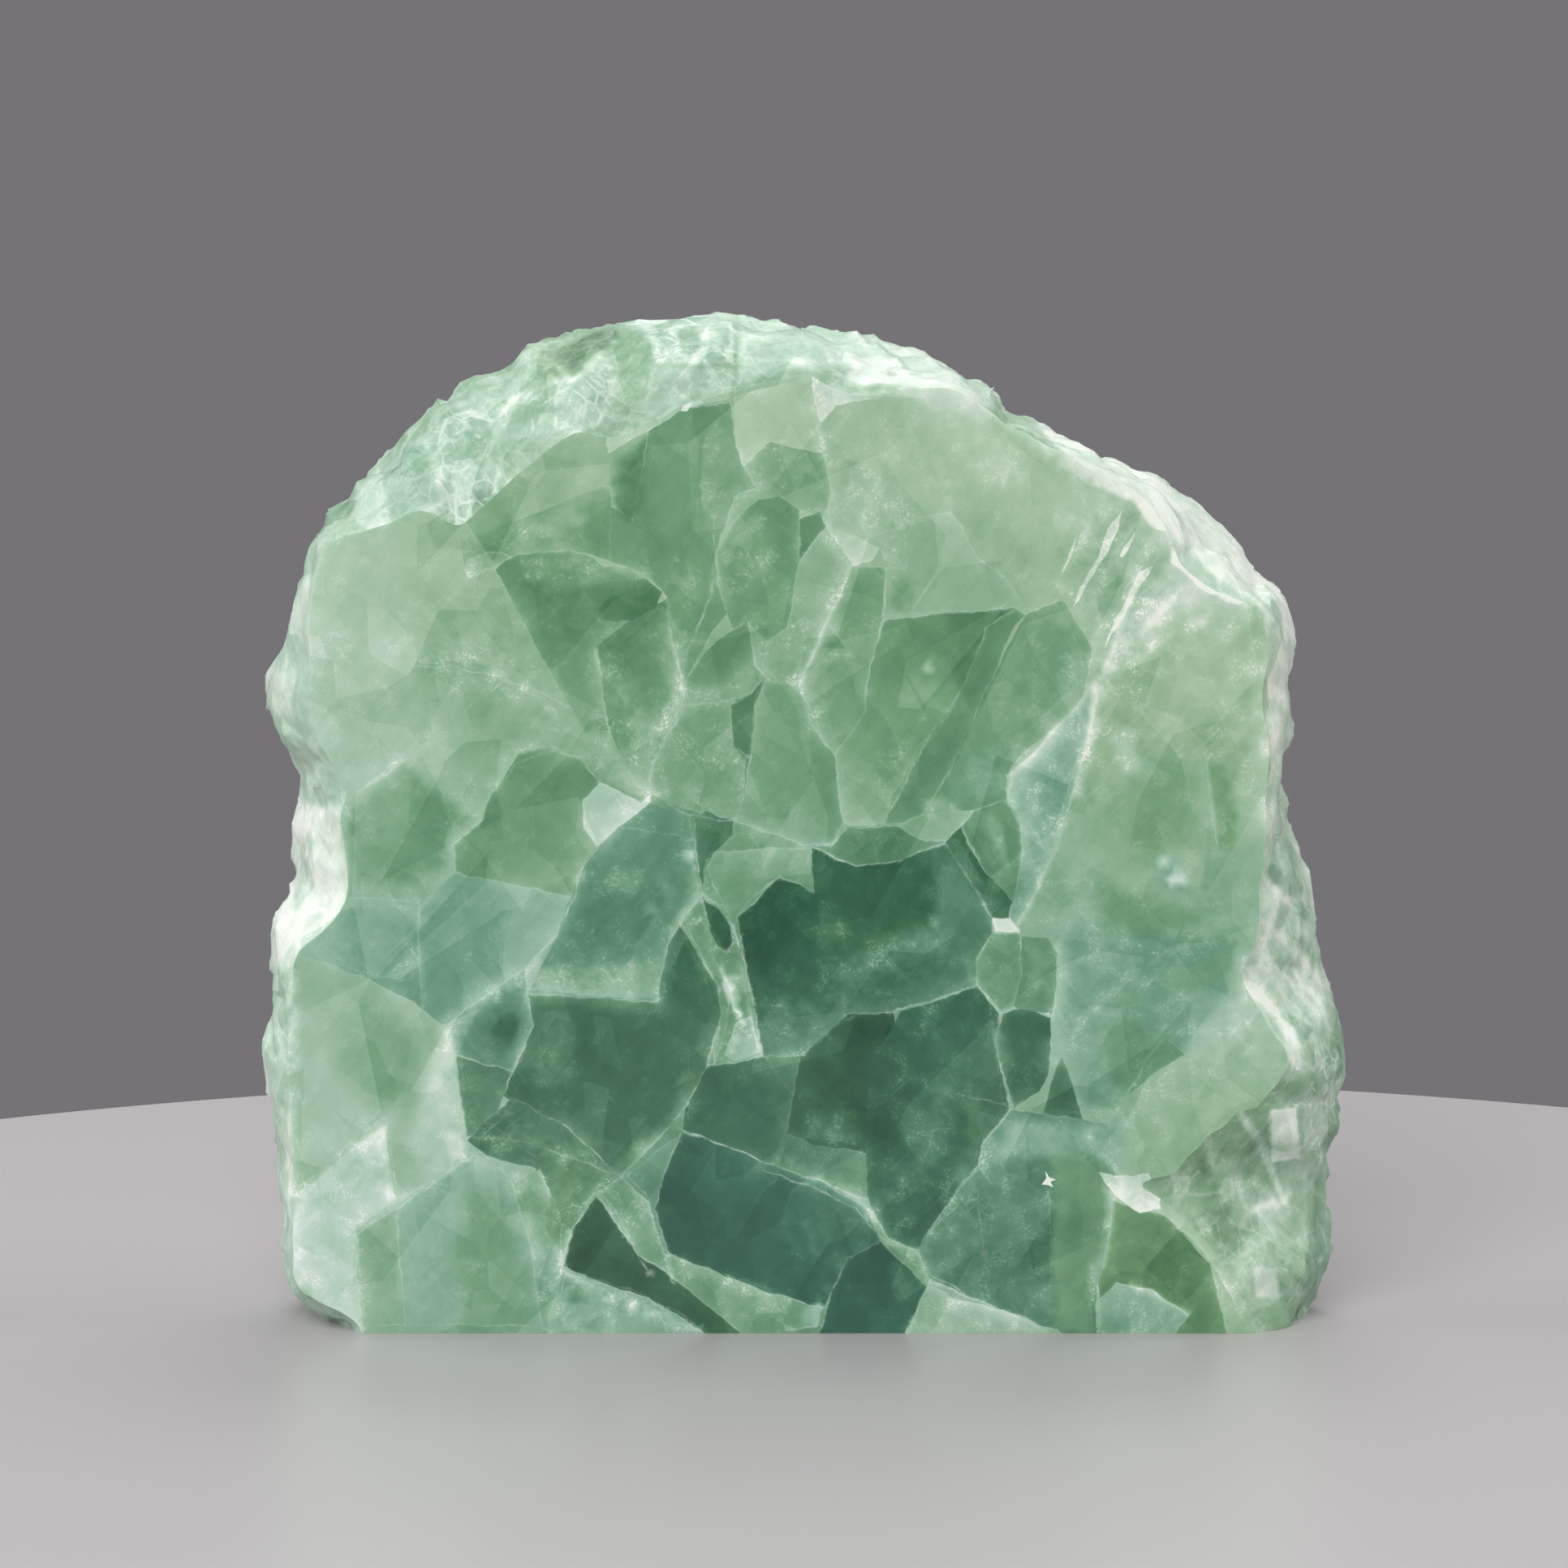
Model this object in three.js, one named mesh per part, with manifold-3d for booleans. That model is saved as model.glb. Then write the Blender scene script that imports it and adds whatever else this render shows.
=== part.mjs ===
// A fluorite freeform: one broken lump of green fluorite, sawn flat underneath so that it stands,
// and sawn and polished flat on the front, with the rough broken rind left on every other side.
// Millimetres, +Z up. The polished face looks along -Y, and the sawn base lies on Z = 0.

import * as THREE from 'three';
import { mergeVertices } from 'three/addons/utils/BufferGeometryUtils.js';
import Module from 'manifold-3d';

const wasm = await Module();
wasm.setup();

// ---- Driving dimensions, in millimetres ----

const GIRTH_DEPTH = 14;      // the widest outline lies this far behind the polished face
const STONE_DEPTH = 44;      // polished face to the back of the rough, before it was broken off flat
const HEART = [0, 45];       // x and z that the outlines are drawn around
const BELOW_BASE = -25;      // how far the rough lump went on below the saw cut of the base
const CORNER_SPACING = 2.0;  // furthest that two points of the rough outline lie apart
const FRONT_START = 0.4;     // the front of the rough is meshed from this share of the way out
const FRONT_RINGS = 14;      // crowded together towards the widest outline
const BACK_RINGS = 11;       // crowded together in the same way, but less
const RING_CROWDING = 1.5;   // 1 spaces the rings evenly, more draws them together near the widest outline
const FACE_SLOPE = 0.8;      // how steeply the rough stood proud of the saw cut, inside the polished outline
const LIP_SLOPE = 0.1;       // least slope of the rind away from the polished edge
const RIND_SLANT = 0.2;      // 1 slants the rind straight back to the widest outline, 0 rounds it over

// Widest outline of the stone, [x, z], clockwise from the left end of the base.
const GIRTH = [
  [-49.9, -0.4], [-53.1, 2.0], [-54.7, 5.5], [-54.8, 9.4], [-55.2, 12.5], [-55.3, 15.3], [-55.2, 18.6],
  [-55.6, 22.9], [-56.2, 25.3], [-56.5, 27.9], [-56.3, 30.5], [-55.5, 33.3], [-55.2, 34.5], [-55.7, 35.9],
  [-55.7, 39.8], [-55.6, 42.1], [-54.9, 43.1], [-54.0, 44.1], [-53.6, 46.0], [-53.8, 48.5], [-53.1, 49.7],
  [-53.6, 50.8], [-52.8, 52.3], [-52.2, 55.2], [-52.5, 57.5], [-53.5, 59.5], [-54.4, 61.3], [-55.5, 63.6],
  [-55.8, 64.9], [-55.4, 67.7], [-54.6, 69.5], [-53.5, 71.8], [-53.1, 74.0], [-52.6, 76.0], [-52.3, 77.3],
  [-51.3, 78.7], [-50.8, 81.1], [-49.9, 82.8], [-48.8, 84.4], [-46.8, 86.1], [-46.0, 88.0], [-43.9, 89.4],
  [-42.7, 90.6], [-41.1, 93.1], [-39.8, 93.7], [-38.9, 95.2], [-37.0, 96.1], [-34.9, 98.0], [-31.8, 99.1],
  [-30.7, 100.1], [-28.7, 101.6], [-26.1, 102.1], [-24.4, 102.8], [-20.0, 103.4], [-18.7, 103.9],
  [-16.8, 104.4], [-13.8, 104.8], [-9.7, 105.0], [-6.0, 104.6], [-3.5, 103.9], [0.0, 103.9], [3.9, 102.8],
  [7.6, 102.4], [10.8, 101.2], [12.8, 100.3], [16.1, 99.3], [18.1, 98.2], [19.6, 97.0], [20.0, 96.0],
  [20.2, 95.0], [23.0, 94.0], [26.6, 92.0], [29.1, 91.2], [31.1, 90.1], [32.7, 90.0], [34.9, 88.7],
  [37.1, 87.7], [38.0, 86.7], [40.3, 85.4], [42.2, 83.7], [44.1, 82.2], [45.2, 80.8], [46.6, 78.8],
  [48.0, 77.0], [49.6, 75.8], [50.2, 74.6], [50.7, 72.0], [51.1, 68.9], [50.9, 64.6], [50.7, 61.0],
  [50.0, 58.8], [49.9, 56.4], [50.9, 52.4], [52.4, 48.8], [53.0, 44.6], [53.7, 40.2], [55.2, 36.4],
  [56.5, 32.7], [56.9, 30.1], [56.8, 25.8], [56.5, 21.4], [55.7, 17.1], [55.2, 13.8], [55.8, 9.9],
  [56.3, 6.6], [55.8, 3.6], [54.3, 1.5], [52.6, -0.4], [48, BELOW_BASE], [-46, BELOW_BASE],
];

// Edge of the polished face, [x, z], clockwise from the left end of the base. It leaves out the
// broken bites: one half way up the left side, one at the top left and one at the bottom right.
const FACE = [
  [-45.4, 0], [-46.3, 1.6], [-49.6, 3.2], [-52.7, 4.7], [-52.8, 9.7], [-53.0, 16.5], [-53.2, 23.8],
  [-52.8, 29.3], [-52.7, 35.6], [-52.0, 39.9], [-49.2, 42.0], [-46.5, 45.9], [-46.5, 49.4], [-47.4, 53.1],
  [-47.4, 54.6], [-46.4, 56.3], [-48.1, 59.5], [-49.4, 63.0], [-50.6, 67.0], [-50.4, 72.2], [-50.0, 76.5],
  [-50.2, 79.2], [-49.3, 82.3], [-45.5, 83.2], [-40.7, 84.0], [-38.4, 85.3], [-36.8, 83.4], [-35.1, 82.7],
  [-32.1, 84.6], [-28.1, 87.3], [-24.8, 91.1], [-22.8, 93.3], [-20.0, 91.6], [-16.9, 92.8], [-13.2, 95.1],
  [-10.6, 96.4], [-7.0, 97.3], [-3.3, 98.0], [0.6, 98.9], [4.1, 96.9], [8.2, 97.3], [11.5, 98.1],
  [14.4, 98.4], [17.3, 97.1], [20.0, 95.0], [24.8, 92.7], [29.7, 89.9], [33.7, 87.6], [36.0, 85.3],
  [37.4, 82.3], [38.5, 79.5], [40.7, 77.8], [43.9, 76.2], [46.5, 75.5], [46.8, 69.7], [47.0, 63.0],
  [47.2, 56.3], [46.8, 49.6], [46.5, 44.1], [45.9, 40.6], [44.0, 37.8], [45.4, 33.8], [47.4, 31.3],
  [49.2, 28.6], [47.4, 26.2], [44.2, 24.9], [40.9, 22.1], [37.6, 18.7], [34.1, 17.2], [30.4, 16.9],
  [32.1, 14.3], [34.6, 12.9], [37.8, 12.2], [40.5, 9.5], [42.4, 6.8], [44.3, 3.2], [45.5, 1.1], [46.8, 0],
  [46.8, BELOW_BASE], [-45.4, BELOW_BASE],
];

// Flat cleavage breaks across the back. Each plane faces along its normal and passes this far
// outside the widest outline, so that it takes off only what bulges out behind.
const BACK_BREAKS = [
  { normal: [-0.70, 0.62, 0.35], past: 0.6 },
  { normal: [-0.25, 0.70, 0.66], past: 0.8 },
  { normal: [0.30, 0.62, 0.72], past: 0.5 },
  { normal: [0.72, 0.60, 0.34], past: 0.8 },
  { normal: [0.80, 0.55, -0.22], past: 0.7 },
  { normal: [-0.84, 0.50, -0.12], past: 0.5 },
  { normal: [-0.30, 0.93, 0.20], past: 1.2 },
  { normal: [0.34, 0.92, -0.10], past: 1.6 },
  { normal: [0.05, 0.90, -0.43], past: 8.0 },
];

// The broad flat break that forms most of the back: its normal, and its depth behind the polished face.
const BACK_FLAT = { normal: [0.05, 1, 0.09], depth: 36 };

// Steps where a block broke away along three cleavage planes at once: the inner corner of each
// step, and the block's turn in degrees, first about Y to face its side and then tilted about Z and X.
const BACK_STEPS = [
  { corner: [9, 32.5, 55], turn: -12, tiltZ: -13, tiltX: 14 },
  { corner: [-16, 31.0, 57], turn: -104, tiltZ: 11, tiltX: 18 },
  { corner: [-24, 31.5, 33], turn: 193, tiltZ: 17, tiltX: -7 },
  { corner: [21, 30.5, 30], turn: 76, tiltZ: -20, tiltX: -9 },
  { corner: [35, 22.5, 57], turn: 24, tiltZ: -26, tiltX: 3 },
  { corner: [-4, 27.5, 80], turn: -37, tiltZ: 3, tiltX: 24 },
  { corner: [-42, 21.0, 52], turn: -96, tiltZ: 24, tiltX: 4 },
  { corner: [4, 32.0, 26], turn: 142, tiltZ: 7, tiltX: -19 },
];

// ---- Flat outline helpers ----

function distanceToOutline(outline, x, z) {
  let best = Infinity;
  outline.forEach(([ax, az], i) => {
    const [bx, bz] = outline[(i + 1) % outline.length];
    const [ex, ez] = [bx - ax, bz - az];
    const along = THREE.MathUtils.clamp(((x - ax) * ex + (z - az) * ez) / (ex * ex + ez * ez), 0, 1);
    best = Math.min(best, Math.hypot(x - ax - along * ex, z - az - along * ez));
  });
  return best;
}

function isInside(outline, x, z) {
  let inside = false;
  outline.forEach(([ax, az], i) => {
    const [bx, bz] = outline[(i + 1) % outline.length];
    const crosses = (az > z) !== (bz > z) && x < ax + ((z - az) / (bz - az)) * (bx - ax);
    if (crosses) inside = !inside;
  });
  return inside;
}

// The outline with extra points, so that no two lie further apart than the spacing.
function withSpacing(outline, spacing) {
  return outline.flatMap(([ax, az], i) => {
    const [bx, bz] = outline[(i + 1) % outline.length];
    const pieces = Math.ceil(Math.hypot(bx - ax, bz - az) / spacing);
    return Array.from({ length: pieces }, (_, k) => [
      ax + ((bx - ax) * k) / pieces,
      az + ((bz - az) * k) / pieces,
    ]);
  });
}

// ---- Broken-crystal relief ----

// A repeatable number from 0 to 1 for a cell of the relief.
function scatter(i, j, seed) {
  const wave = Math.sin(i * 127.1 + j * 311.7 + seed * 74.7) * 43758.5453;
  return wave - Math.floor(wave);
}

const FACET_TILT = 1.6;  // how far a facet leans, as a share of its size

// Height, about -1 to 1, of a surface of flat tilted facets about `size` across, like broken crystal.
function facetRelief(x, z, size, seed) {
  const [cellX, cellZ] = [Math.floor(x / size), Math.floor(z / size)];
  let nearest = Infinity;
  let height = 0;
  for (let i = cellX - 1; i <= cellX + 1; i++) {
    for (let j = cellZ - 1; j <= cellZ + 1; j++) {
      const dx = x / size - (i + scatter(i, j, seed));
      const dz = z / size - (j + scatter(i, j, seed + 1));
      const away = Math.hypot(dx, dz);
      if (away < nearest) {
        nearest = away;
        const [tiltX, tiltZ] = [scatter(i, j, seed + 2) - 0.5, scatter(i, j, seed + 3) - 0.5];
        height = scatter(i, j, seed + 4) - 0.5 + FACET_TILT * (tiltX * dx + tiltZ * dz);
      }
    }
  }
  return height;
}

const RIND_RELIEF = [
  { size: 8, depth: 1.6, seed: 3 },
  { size: 3.6, depth: 0.7, seed: 11 },
];
const BACK_RELIEF = [
  { size: 15, depth: 3.0, seed: 23 },
  { size: 6, depth: 1.2, seed: 31 },
];
const RELIEF_FADE = 4;  // relief is at full height a quarter of the way in from an edge

function relief(layers, x, z) {
  return layers.reduce((sum, { size, depth, seed }) => sum + depth * facetRelief(x, z, size, seed), 0);
}

// ---- The rough lump ----

// Depth of the front of the rough behind the plane of the polished face. It is negative inside the
// polished outline, where the saw took it off, and reaches GIRTH_DEPTH at the widest outline.
function frontDepth(x, z) {
  const toFace = distanceToOutline(FACE, x, z);
  if (isInside(FACE, x, z)) return -FACE_SLOPE * toFace;
  const toGirth = isInside(GIRTH, x, z) ? distanceToOutline(GIRTH, x, z) : 0;
  const out = toFace / (toFace + toGirth + WELD);
  const rounded = 1 - Math.sqrt(Math.max(0, 1 - out * out));
  const fall = RIND_SLANT * out + (1 - RIND_SLANT) * rounded;
  const bumps = relief(RIND_RELIEF, x, z) * Math.min(1, out * RELIEF_FADE);
  return Math.max(LIP_SLOPE * toFace, GIRTH_DEPTH * fall + bumps);
}

// Depth of the back of the rough, a cushion that narrows down to the widest outline.
function backDepth(x, z, share) {
  const bulge = Math.sqrt(1 - Math.pow(share, 3));
  const bumps = relief(BACK_RELIEF, x, z) * Math.min(1, (1 - share) * RELIEF_FADE, share * RELIEF_FADE);
  return GIRTH_DEPTH + (STONE_DEPTH - GIRTH_DEPTH) * bulge + bumps;
}

// Closed mesh of the rough: a front and a back that share the widest outline.
function roughLump() {
  const rim = withSpacing(GIRTH, CORNER_SPACING);
  const [heartX, heartZ] = HEART;
  const positions = [];
  const index = [];
  const addPoint = (x, y, z) => positions.push(x, y, z) / 3 - 1;
  const at = ([x, z], share) => [heartX + (x - heartX) * share, heartZ + (z - heartZ) * share];

  const addRing = (share, depthAt) => rim.map((corner) => {
    const [x, z] = at(corner, share);
    return addPoint(x, depthAt(x, z, share), z);
  });
  const join = (inner, outer, turned) => rim.forEach((_, i) => {
    const next = (i + 1) % rim.length;
    const [a, b, c, d] = [inner[i], inner[next], outer[next], outer[i]];
    index.push(...(turned ? [a, c, b, a, d, c] : [a, b, c, a, c, d]));
  });
  const close = (ring, middle, turned) => rim.forEach((_, i) => {
    const next = (i + 1) % rim.length;
    index.push(...(turned ? [middle, ring[i], ring[next]] : [middle, ring[next], ring[i]]));
  });

  const girth = addRing(1, frontDepth);
  let outer = girth;
  for (let k = FRONT_RINGS - 1; k >= 0; k--) {
    const inner = addRing(1 - (1 - FRONT_START) * Math.pow(1 - k / FRONT_RINGS, RING_CROWDING), frontDepth);
    join(inner, outer, false);
    outer = inner;
  }
  close(outer, addPoint(heartX, frontDepth(...HEART), heartZ), false);

  outer = girth;
  for (let k = BACK_RINGS - 1; k >= 1; k--) {
    const inner = addRing(Math.pow(k / BACK_RINGS, 1 / RING_CROWDING), backDepth);
    join(inner, outer, true);
    outer = inner;
  }
  close(outer, addPoint(heartX, backDepth(heartX, heartZ, 0), heartZ), true);

  const geometry = new THREE.BufferGeometry();
  geometry.setAttribute('position', new THREE.Float32BufferAttribute(positions, 3));
  geometry.setIndex(index);
  return geometry;
}

// ---- Solids ----

const CUTTER_SIZE = 300;  // more than twice the stone, so that a cutting block takes all on its side
const WELD = 1e-4;        // points nearer than this are one point

function toSolid(geometry) {
  const bare = geometry.clone();
  bare.deleteAttribute('normal');
  bare.deleteAttribute('uv');
  const merged = mergeVertices(bare, WELD);
  return new wasm.Manifold(new wasm.Mesh({
    numProp: 3,
    vertProperties: new Float32Array(merged.attributes.position.array),
    triVerts: new Uint32Array(merged.index.array),
  }));
}

function toGeometry(solid) {
  const { vertProperties, triVerts } = solid.getMesh();
  const geometry = new THREE.BufferGeometry();
  geometry.setAttribute('position', new THREE.Float32BufferAttribute(vertProperties, 3));
  geometry.setIndex(new THREE.Uint32BufferAttribute(triVerts, 1));
  geometry.computeVertexNormals();
  return geometry;
}

// Everything on the far side of a plane, as a block big enough to cut the stone with.
function beyond(normal, distance) {
  const direction = new THREE.Vector3(...normal).normalize();
  const block = new THREE.BoxGeometry(CUTTER_SIZE, CUTTER_SIZE, CUTTER_SIZE);
  block.translate(0, 0, CUTTER_SIZE / 2);
  block.applyQuaternion(new THREE.Quaternion().setFromUnitVectors(new THREE.Vector3(0, 0, 1), direction));
  const foot = direction.multiplyScalar(distance);
  block.translate(foot.x + HEART[0], foot.y, foot.z + HEART[1]);
  return toSolid(block);
}

// How far the widest outline reaches along a direction, from the heart of the stone.
function girthReach(normal) {
  const direction = new THREE.Vector3(...normal).normalize();
  const reaches = GIRTH.filter(([, z]) => z >= 0).map(
    ([x, z]) => direction.dot(new THREE.Vector3(x - HEART[0], GIRTH_DEPTH, z - HEART[1])),
  );
  return Math.max(...reaches);
}

// The block that broke away at a step, with one of its corners at the inner corner of the step.
function brokenBlock({ corner, turn, tiltZ, tiltX }) {
  const [aboutX, aboutY, aboutZ] = [tiltX, turn, tiltZ].map(THREE.MathUtils.degToRad);
  const block = new THREE.BoxGeometry(CUTTER_SIZE, CUTTER_SIZE, CUTTER_SIZE);
  block.translate(CUTTER_SIZE / 2, CUTTER_SIZE / 2, CUTTER_SIZE / 2);
  block.applyQuaternion(new THREE.Quaternion().setFromEuler(new THREE.Euler(aboutX, aboutY, aboutZ, 'XZY')));
  block.translate(...corner);
  return toSolid(block);
}

function stoneGeometry() {
  let stone = toSolid(roughLump());
  for (const { normal, past } of BACK_BREAKS) stone = stone.subtract(beyond(normal, girthReach(normal) + past));
  stone = stone.subtract(beyond(BACK_FLAT.normal, BACK_FLAT.depth));
  for (const step of BACK_STEPS) stone = stone.subtract(brokenBlock(step));
  stone = stone.subtract(beyond([0, -1, 0], 0));
  stone = stone.subtract(beyond([0, 0, -1], HEART[1]));
  return toGeometry(stone);
}

const geometry = stoneGeometry();
geometry.computeBoundingBox();
const { min, max } = geometry.boundingBox;
geometry.translate(-(min.x + max.x) / 2, -(min.y + max.y) / 2, -min.z);

const fluorite = new THREE.Mesh(
  geometry,
  new THREE.MeshStandardMaterial({ color: 0x7fa98a, roughness: 0.3, metalness: 0 }),
);
fluorite.name = 'fluorite_freeform';

const part = new THREE.Group();
part.add(fluorite);
export default part;
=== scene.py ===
# %% [markdown]
# # A fluorite freeform
# One lump of green fluorite. It is sawn flat underneath, polished flat in front, and broken and
# rough everywhere else. The whole look is in two things: the polished face, which shows a mosaic of
# translucent grains with pale seams between them, and the rind round it, which is hackly and whitish.
# The solid of the stone is in model.glb already, so the script loads it first and then dresses it.

# %% Load the imported stone
import math

import bmesh
import bpy
import numpy as np
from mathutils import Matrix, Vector
from mathutils.geometry import delaunay_2d_cdt
from mathutils.kdtree import KDTree


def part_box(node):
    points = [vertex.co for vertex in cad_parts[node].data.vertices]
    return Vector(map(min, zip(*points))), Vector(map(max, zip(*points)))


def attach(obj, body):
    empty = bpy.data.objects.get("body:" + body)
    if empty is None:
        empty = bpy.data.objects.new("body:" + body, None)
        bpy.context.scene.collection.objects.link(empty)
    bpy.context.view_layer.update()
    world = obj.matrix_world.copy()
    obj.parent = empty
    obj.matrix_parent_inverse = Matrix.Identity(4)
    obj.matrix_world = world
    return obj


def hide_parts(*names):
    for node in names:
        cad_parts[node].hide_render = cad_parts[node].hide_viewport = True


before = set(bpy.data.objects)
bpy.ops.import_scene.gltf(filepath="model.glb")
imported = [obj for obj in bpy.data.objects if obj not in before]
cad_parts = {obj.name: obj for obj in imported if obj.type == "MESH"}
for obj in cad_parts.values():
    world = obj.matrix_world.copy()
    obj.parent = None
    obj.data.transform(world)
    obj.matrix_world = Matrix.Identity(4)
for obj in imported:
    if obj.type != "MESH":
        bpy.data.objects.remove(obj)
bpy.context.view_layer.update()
MM = 0.001
STONE_NODE = "fluorite_freeform"
stone_low, stone_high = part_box(STONE_NODE)
FACE_Y = stone_low.y
print("stone", [round(side / MM, 1) for side in stone_high - stone_low], "mm")

# %% [markdown]
# ## Camera
# A long lens keeps the upright edges parallel. The camera stands a little higher than the stone and
# looks slightly down on it. Its frame is square, and places on the polished face are given further
# on as pixels of that frame, so the camera's numbers are kept as named values.

# %% Camera
FRAME_PIXELS = 1932
LENS_PIXELS = 7270
SENSOR = 36
CAMERA_BACK = 600 * MM
CAMERA_UP = 134 * MM
CAMERA_SIDE = -2.2 * MM
CAMERA_PITCH = math.radians(7.27)

bpy.ops.object.camera_add(
    location=(CAMERA_SIDE, FACE_Y - CAMERA_BACK, CAMERA_UP),
    rotation=(math.pi / 2 - CAMERA_PITCH, 0, 0),
)
camera = bpy.context.object
camera.name = "camera"
camera.data.sensor_width = SENSOR
camera.data.lens = LENS_PIXELS * SENSOR / FRAME_PIXELS
bpy.context.scene.camera = camera
print("lens", round(camera.data.lens, 1), "mm")


# %% From a pixel of the frame to a place on the stone
def cast(pixels, depth=0.0):
    """[x, z] where the frame's pixels meet an upright plane this far behind the polished face."""
    pixels = np.asarray(pixels, float)
    right = (pixels[..., 0] - FRAME_PIXELS / 2) / LENS_PIXELS
    up = (FRAME_PIXELS / 2 - pixels[..., 1]) / LENS_PIXELS
    forward = math.cos(CAMERA_PITCH) + up * math.sin(CAMERA_PITCH)
    climb = up * math.cos(CAMERA_PITCH) - math.sin(CAMERA_PITCH)
    reach = (CAMERA_BACK + depth) / forward
    return np.stack([CAMERA_SIDE + reach * right, CAMERA_UP + reach * climb], axis=-1)


PIXEL = float(cast((967, 966))[0] - cast((966, 966))[0])
print("one pixel is", round(PIXEL / MM, 4), "mm on the face")

# %% [markdown]
# ## Floor, backdrop and light
# A pale round table top stands for the floor, with a plain backdrop of even grey behind it. Four
# large soft lamps light the stone: a strong one in front on the upper left, a weak one on either side,
# and one from behind and above that makes the thin edges glow.

# %% Floor and backdrop
TABLE_RADIUS = 193 * MM
TABLE_CENTRE = (5 * MM, -60 * MM)
TABLE_THICKNESS = 20 * MM
TABLE_SIDES = 160
TABLE_COLOUR = (0.46, 0.44, 0.445)
TABLE_ROUGHNESS = 0.36
BACKDROP_COLOUR = (0.20, 0.19, 0.205, 1)
BACKDROP_STRENGTH = 0.9


def plain_material(name, colour, roughness):
    material = bpy.data.materials.new(name)
    material.use_nodes = True
    shader = material.node_tree.nodes["Principled BSDF"]
    shader.inputs["Base Color"].default_value = (*colour, 1)
    shader.inputs["Roughness"].default_value = roughness
    return material


bpy.ops.object.select_all(action="DESELECT")
bpy.ops.mesh.primitive_cylinder_add(
    vertices=TABLE_SIDES,
    radius=TABLE_RADIUS,
    depth=TABLE_THICKNESS,
    location=(*TABLE_CENTRE, -TABLE_THICKNESS / 2),
)
floor = bpy.context.object
floor.name = "floor"
floor.data.materials.append(plain_material("pale_table", TABLE_COLOUR, TABLE_ROUGHNESS))

bpy.context.scene.view_settings.view_transform = "Standard"
world = bpy.data.worlds.new("soft_room")
bpy.context.scene.world = world
world.use_nodes = True
background = world.node_tree.nodes["Background"]
background.inputs["Color"].default_value = BACKDROP_COLOUR
background.inputs["Strength"].default_value = BACKDROP_STRENGTH


# %% Lamps
def soft_lamp(name, place, aim, size, watts, colour=(1, 1, 1)):
    """A square area lamp that looks from its place towards the point it is aimed at."""
    bpy.ops.object.light_add(type="AREA", location=place)
    lamp = bpy.context.object
    lamp.name = name
    lamp.data.shape = "SQUARE"
    lamp.data.size = size
    lamp.data.energy = watts
    lamp.data.color = colour
    away = lamp.location - Vector(aim)
    lamp.rotation_euler = away.to_track_quat("Z", "Y").to_euler()
    return lamp


MIDDLE = (0, 0, 52 * MM)
soft_lamp("front_lamp", (-0.25, -0.90, 0.70), MIDDLE, 0.8, 12.3)
soft_lamp("right_lamp", (0.70, 0.10, 0.40), MIDDLE, 0.5, 2.6)
soft_lamp("left_lamp", (-0.70, 0.10, 0.40), MIDDLE, 0.5, 2.6)
soft_lamp("rim_lamp", (0.1, 0.45, 0.75), MIDDLE, 0.6, 3)

# %% [markdown]
# ## The rough lump
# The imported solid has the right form, with facets of about 2 mm. The real rind is finer: it broke
# along flat cleavage planes down to a millimetre or so. A voxel remesh gives an even mesh all over,
# and every point is then moved a little, onto the steps of flat tilted planes. The flat sides would
# be rounded by the remesh, so they are first pulled out past their saw cuts, and cut again at the end.

# %% A working copy of the stone
SAW_SPARE = 3 * MM
VOXEL = 0.75 * MM
FLAT = 0.02 * MM
FACING = 0.99

bpy.ops.object.select_all(action="DESELECT")
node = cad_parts[STONE_NODE]
stone = bpy.data.objects.new("fluorite_stone", node.data.copy())
bpy.context.scene.collection.objects.link(stone)
stone.select_set(True)
bpy.context.view_layer.objects.active = stone
stone.data.materials.clear()
bpy.ops.object.mode_set(mode="EDIT")
bpy.ops.mesh.select_all(action="SELECT")
bpy.ops.mesh.remove_doubles(threshold=0.001 * MM)
bpy.ops.object.mode_set(mode="OBJECT")
print("working copy", len(stone.data.vertices), "points")


# %% Pull the sawn sides out
def select_faces(wanted):
    """Selects the faces of the stone for which wanted(face) is true, with the stone in edit mode after."""
    bpy.ops.object.mode_set(mode="EDIT")
    bpy.ops.mesh.select_all(action="DESELECT")
    bpy.ops.object.mode_set(mode="OBJECT")
    stone.data.polygons.foreach_set("select", [bool(wanted(face)) for face in stone.data.polygons])
    bpy.ops.object.mode_set(mode="EDIT")
    bpy.ops.mesh.select_mode(type="FACE")


def pull_out(move):
    bpy.ops.mesh.extrude_region_move(TRANSFORM_OT_translate={"value": move})
    bpy.ops.object.mode_set(mode="OBJECT")


select_faces(lambda face: face.normal.y < -FACING and face.center.y < FACE_Y + FLAT)
pull_out((0, -SAW_SPARE, 0))
select_faces(lambda face: face.normal.z < -FACING and face.center.z < FLAT)
pull_out((0, 0, -SAW_SPARE))
print("pulled out", len(stone.data.polygons), "faces")

# %% Even the mesh out
remesh = stone.modifiers.new("even_mesh", "REMESH")
remesh.mode = "VOXEL"
remesh.voxel_size = VOXEL
bpy.ops.object.modifier_apply(modifier=remesh.name)
print("remeshed", len(stone.data.vertices), "points")

# %% A finer and calmer rind in front
FRONT_TURN = -0.35
CALM_ROUNDS = 10

select_faces(lambda face: face.normal.y < FRONT_TURN and face.center.y > FACE_Y and face.center.z > 0)
bpy.ops.mesh.subdivide(number_cuts=1)
bpy.ops.mesh.vertices_smooth(factor=0.5, repeat=CALM_ROUNDS)
bpy.ops.object.mode_set(mode="OBJECT")
print("rind in front split,", len(stone.data.polygons), "faces")


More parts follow.
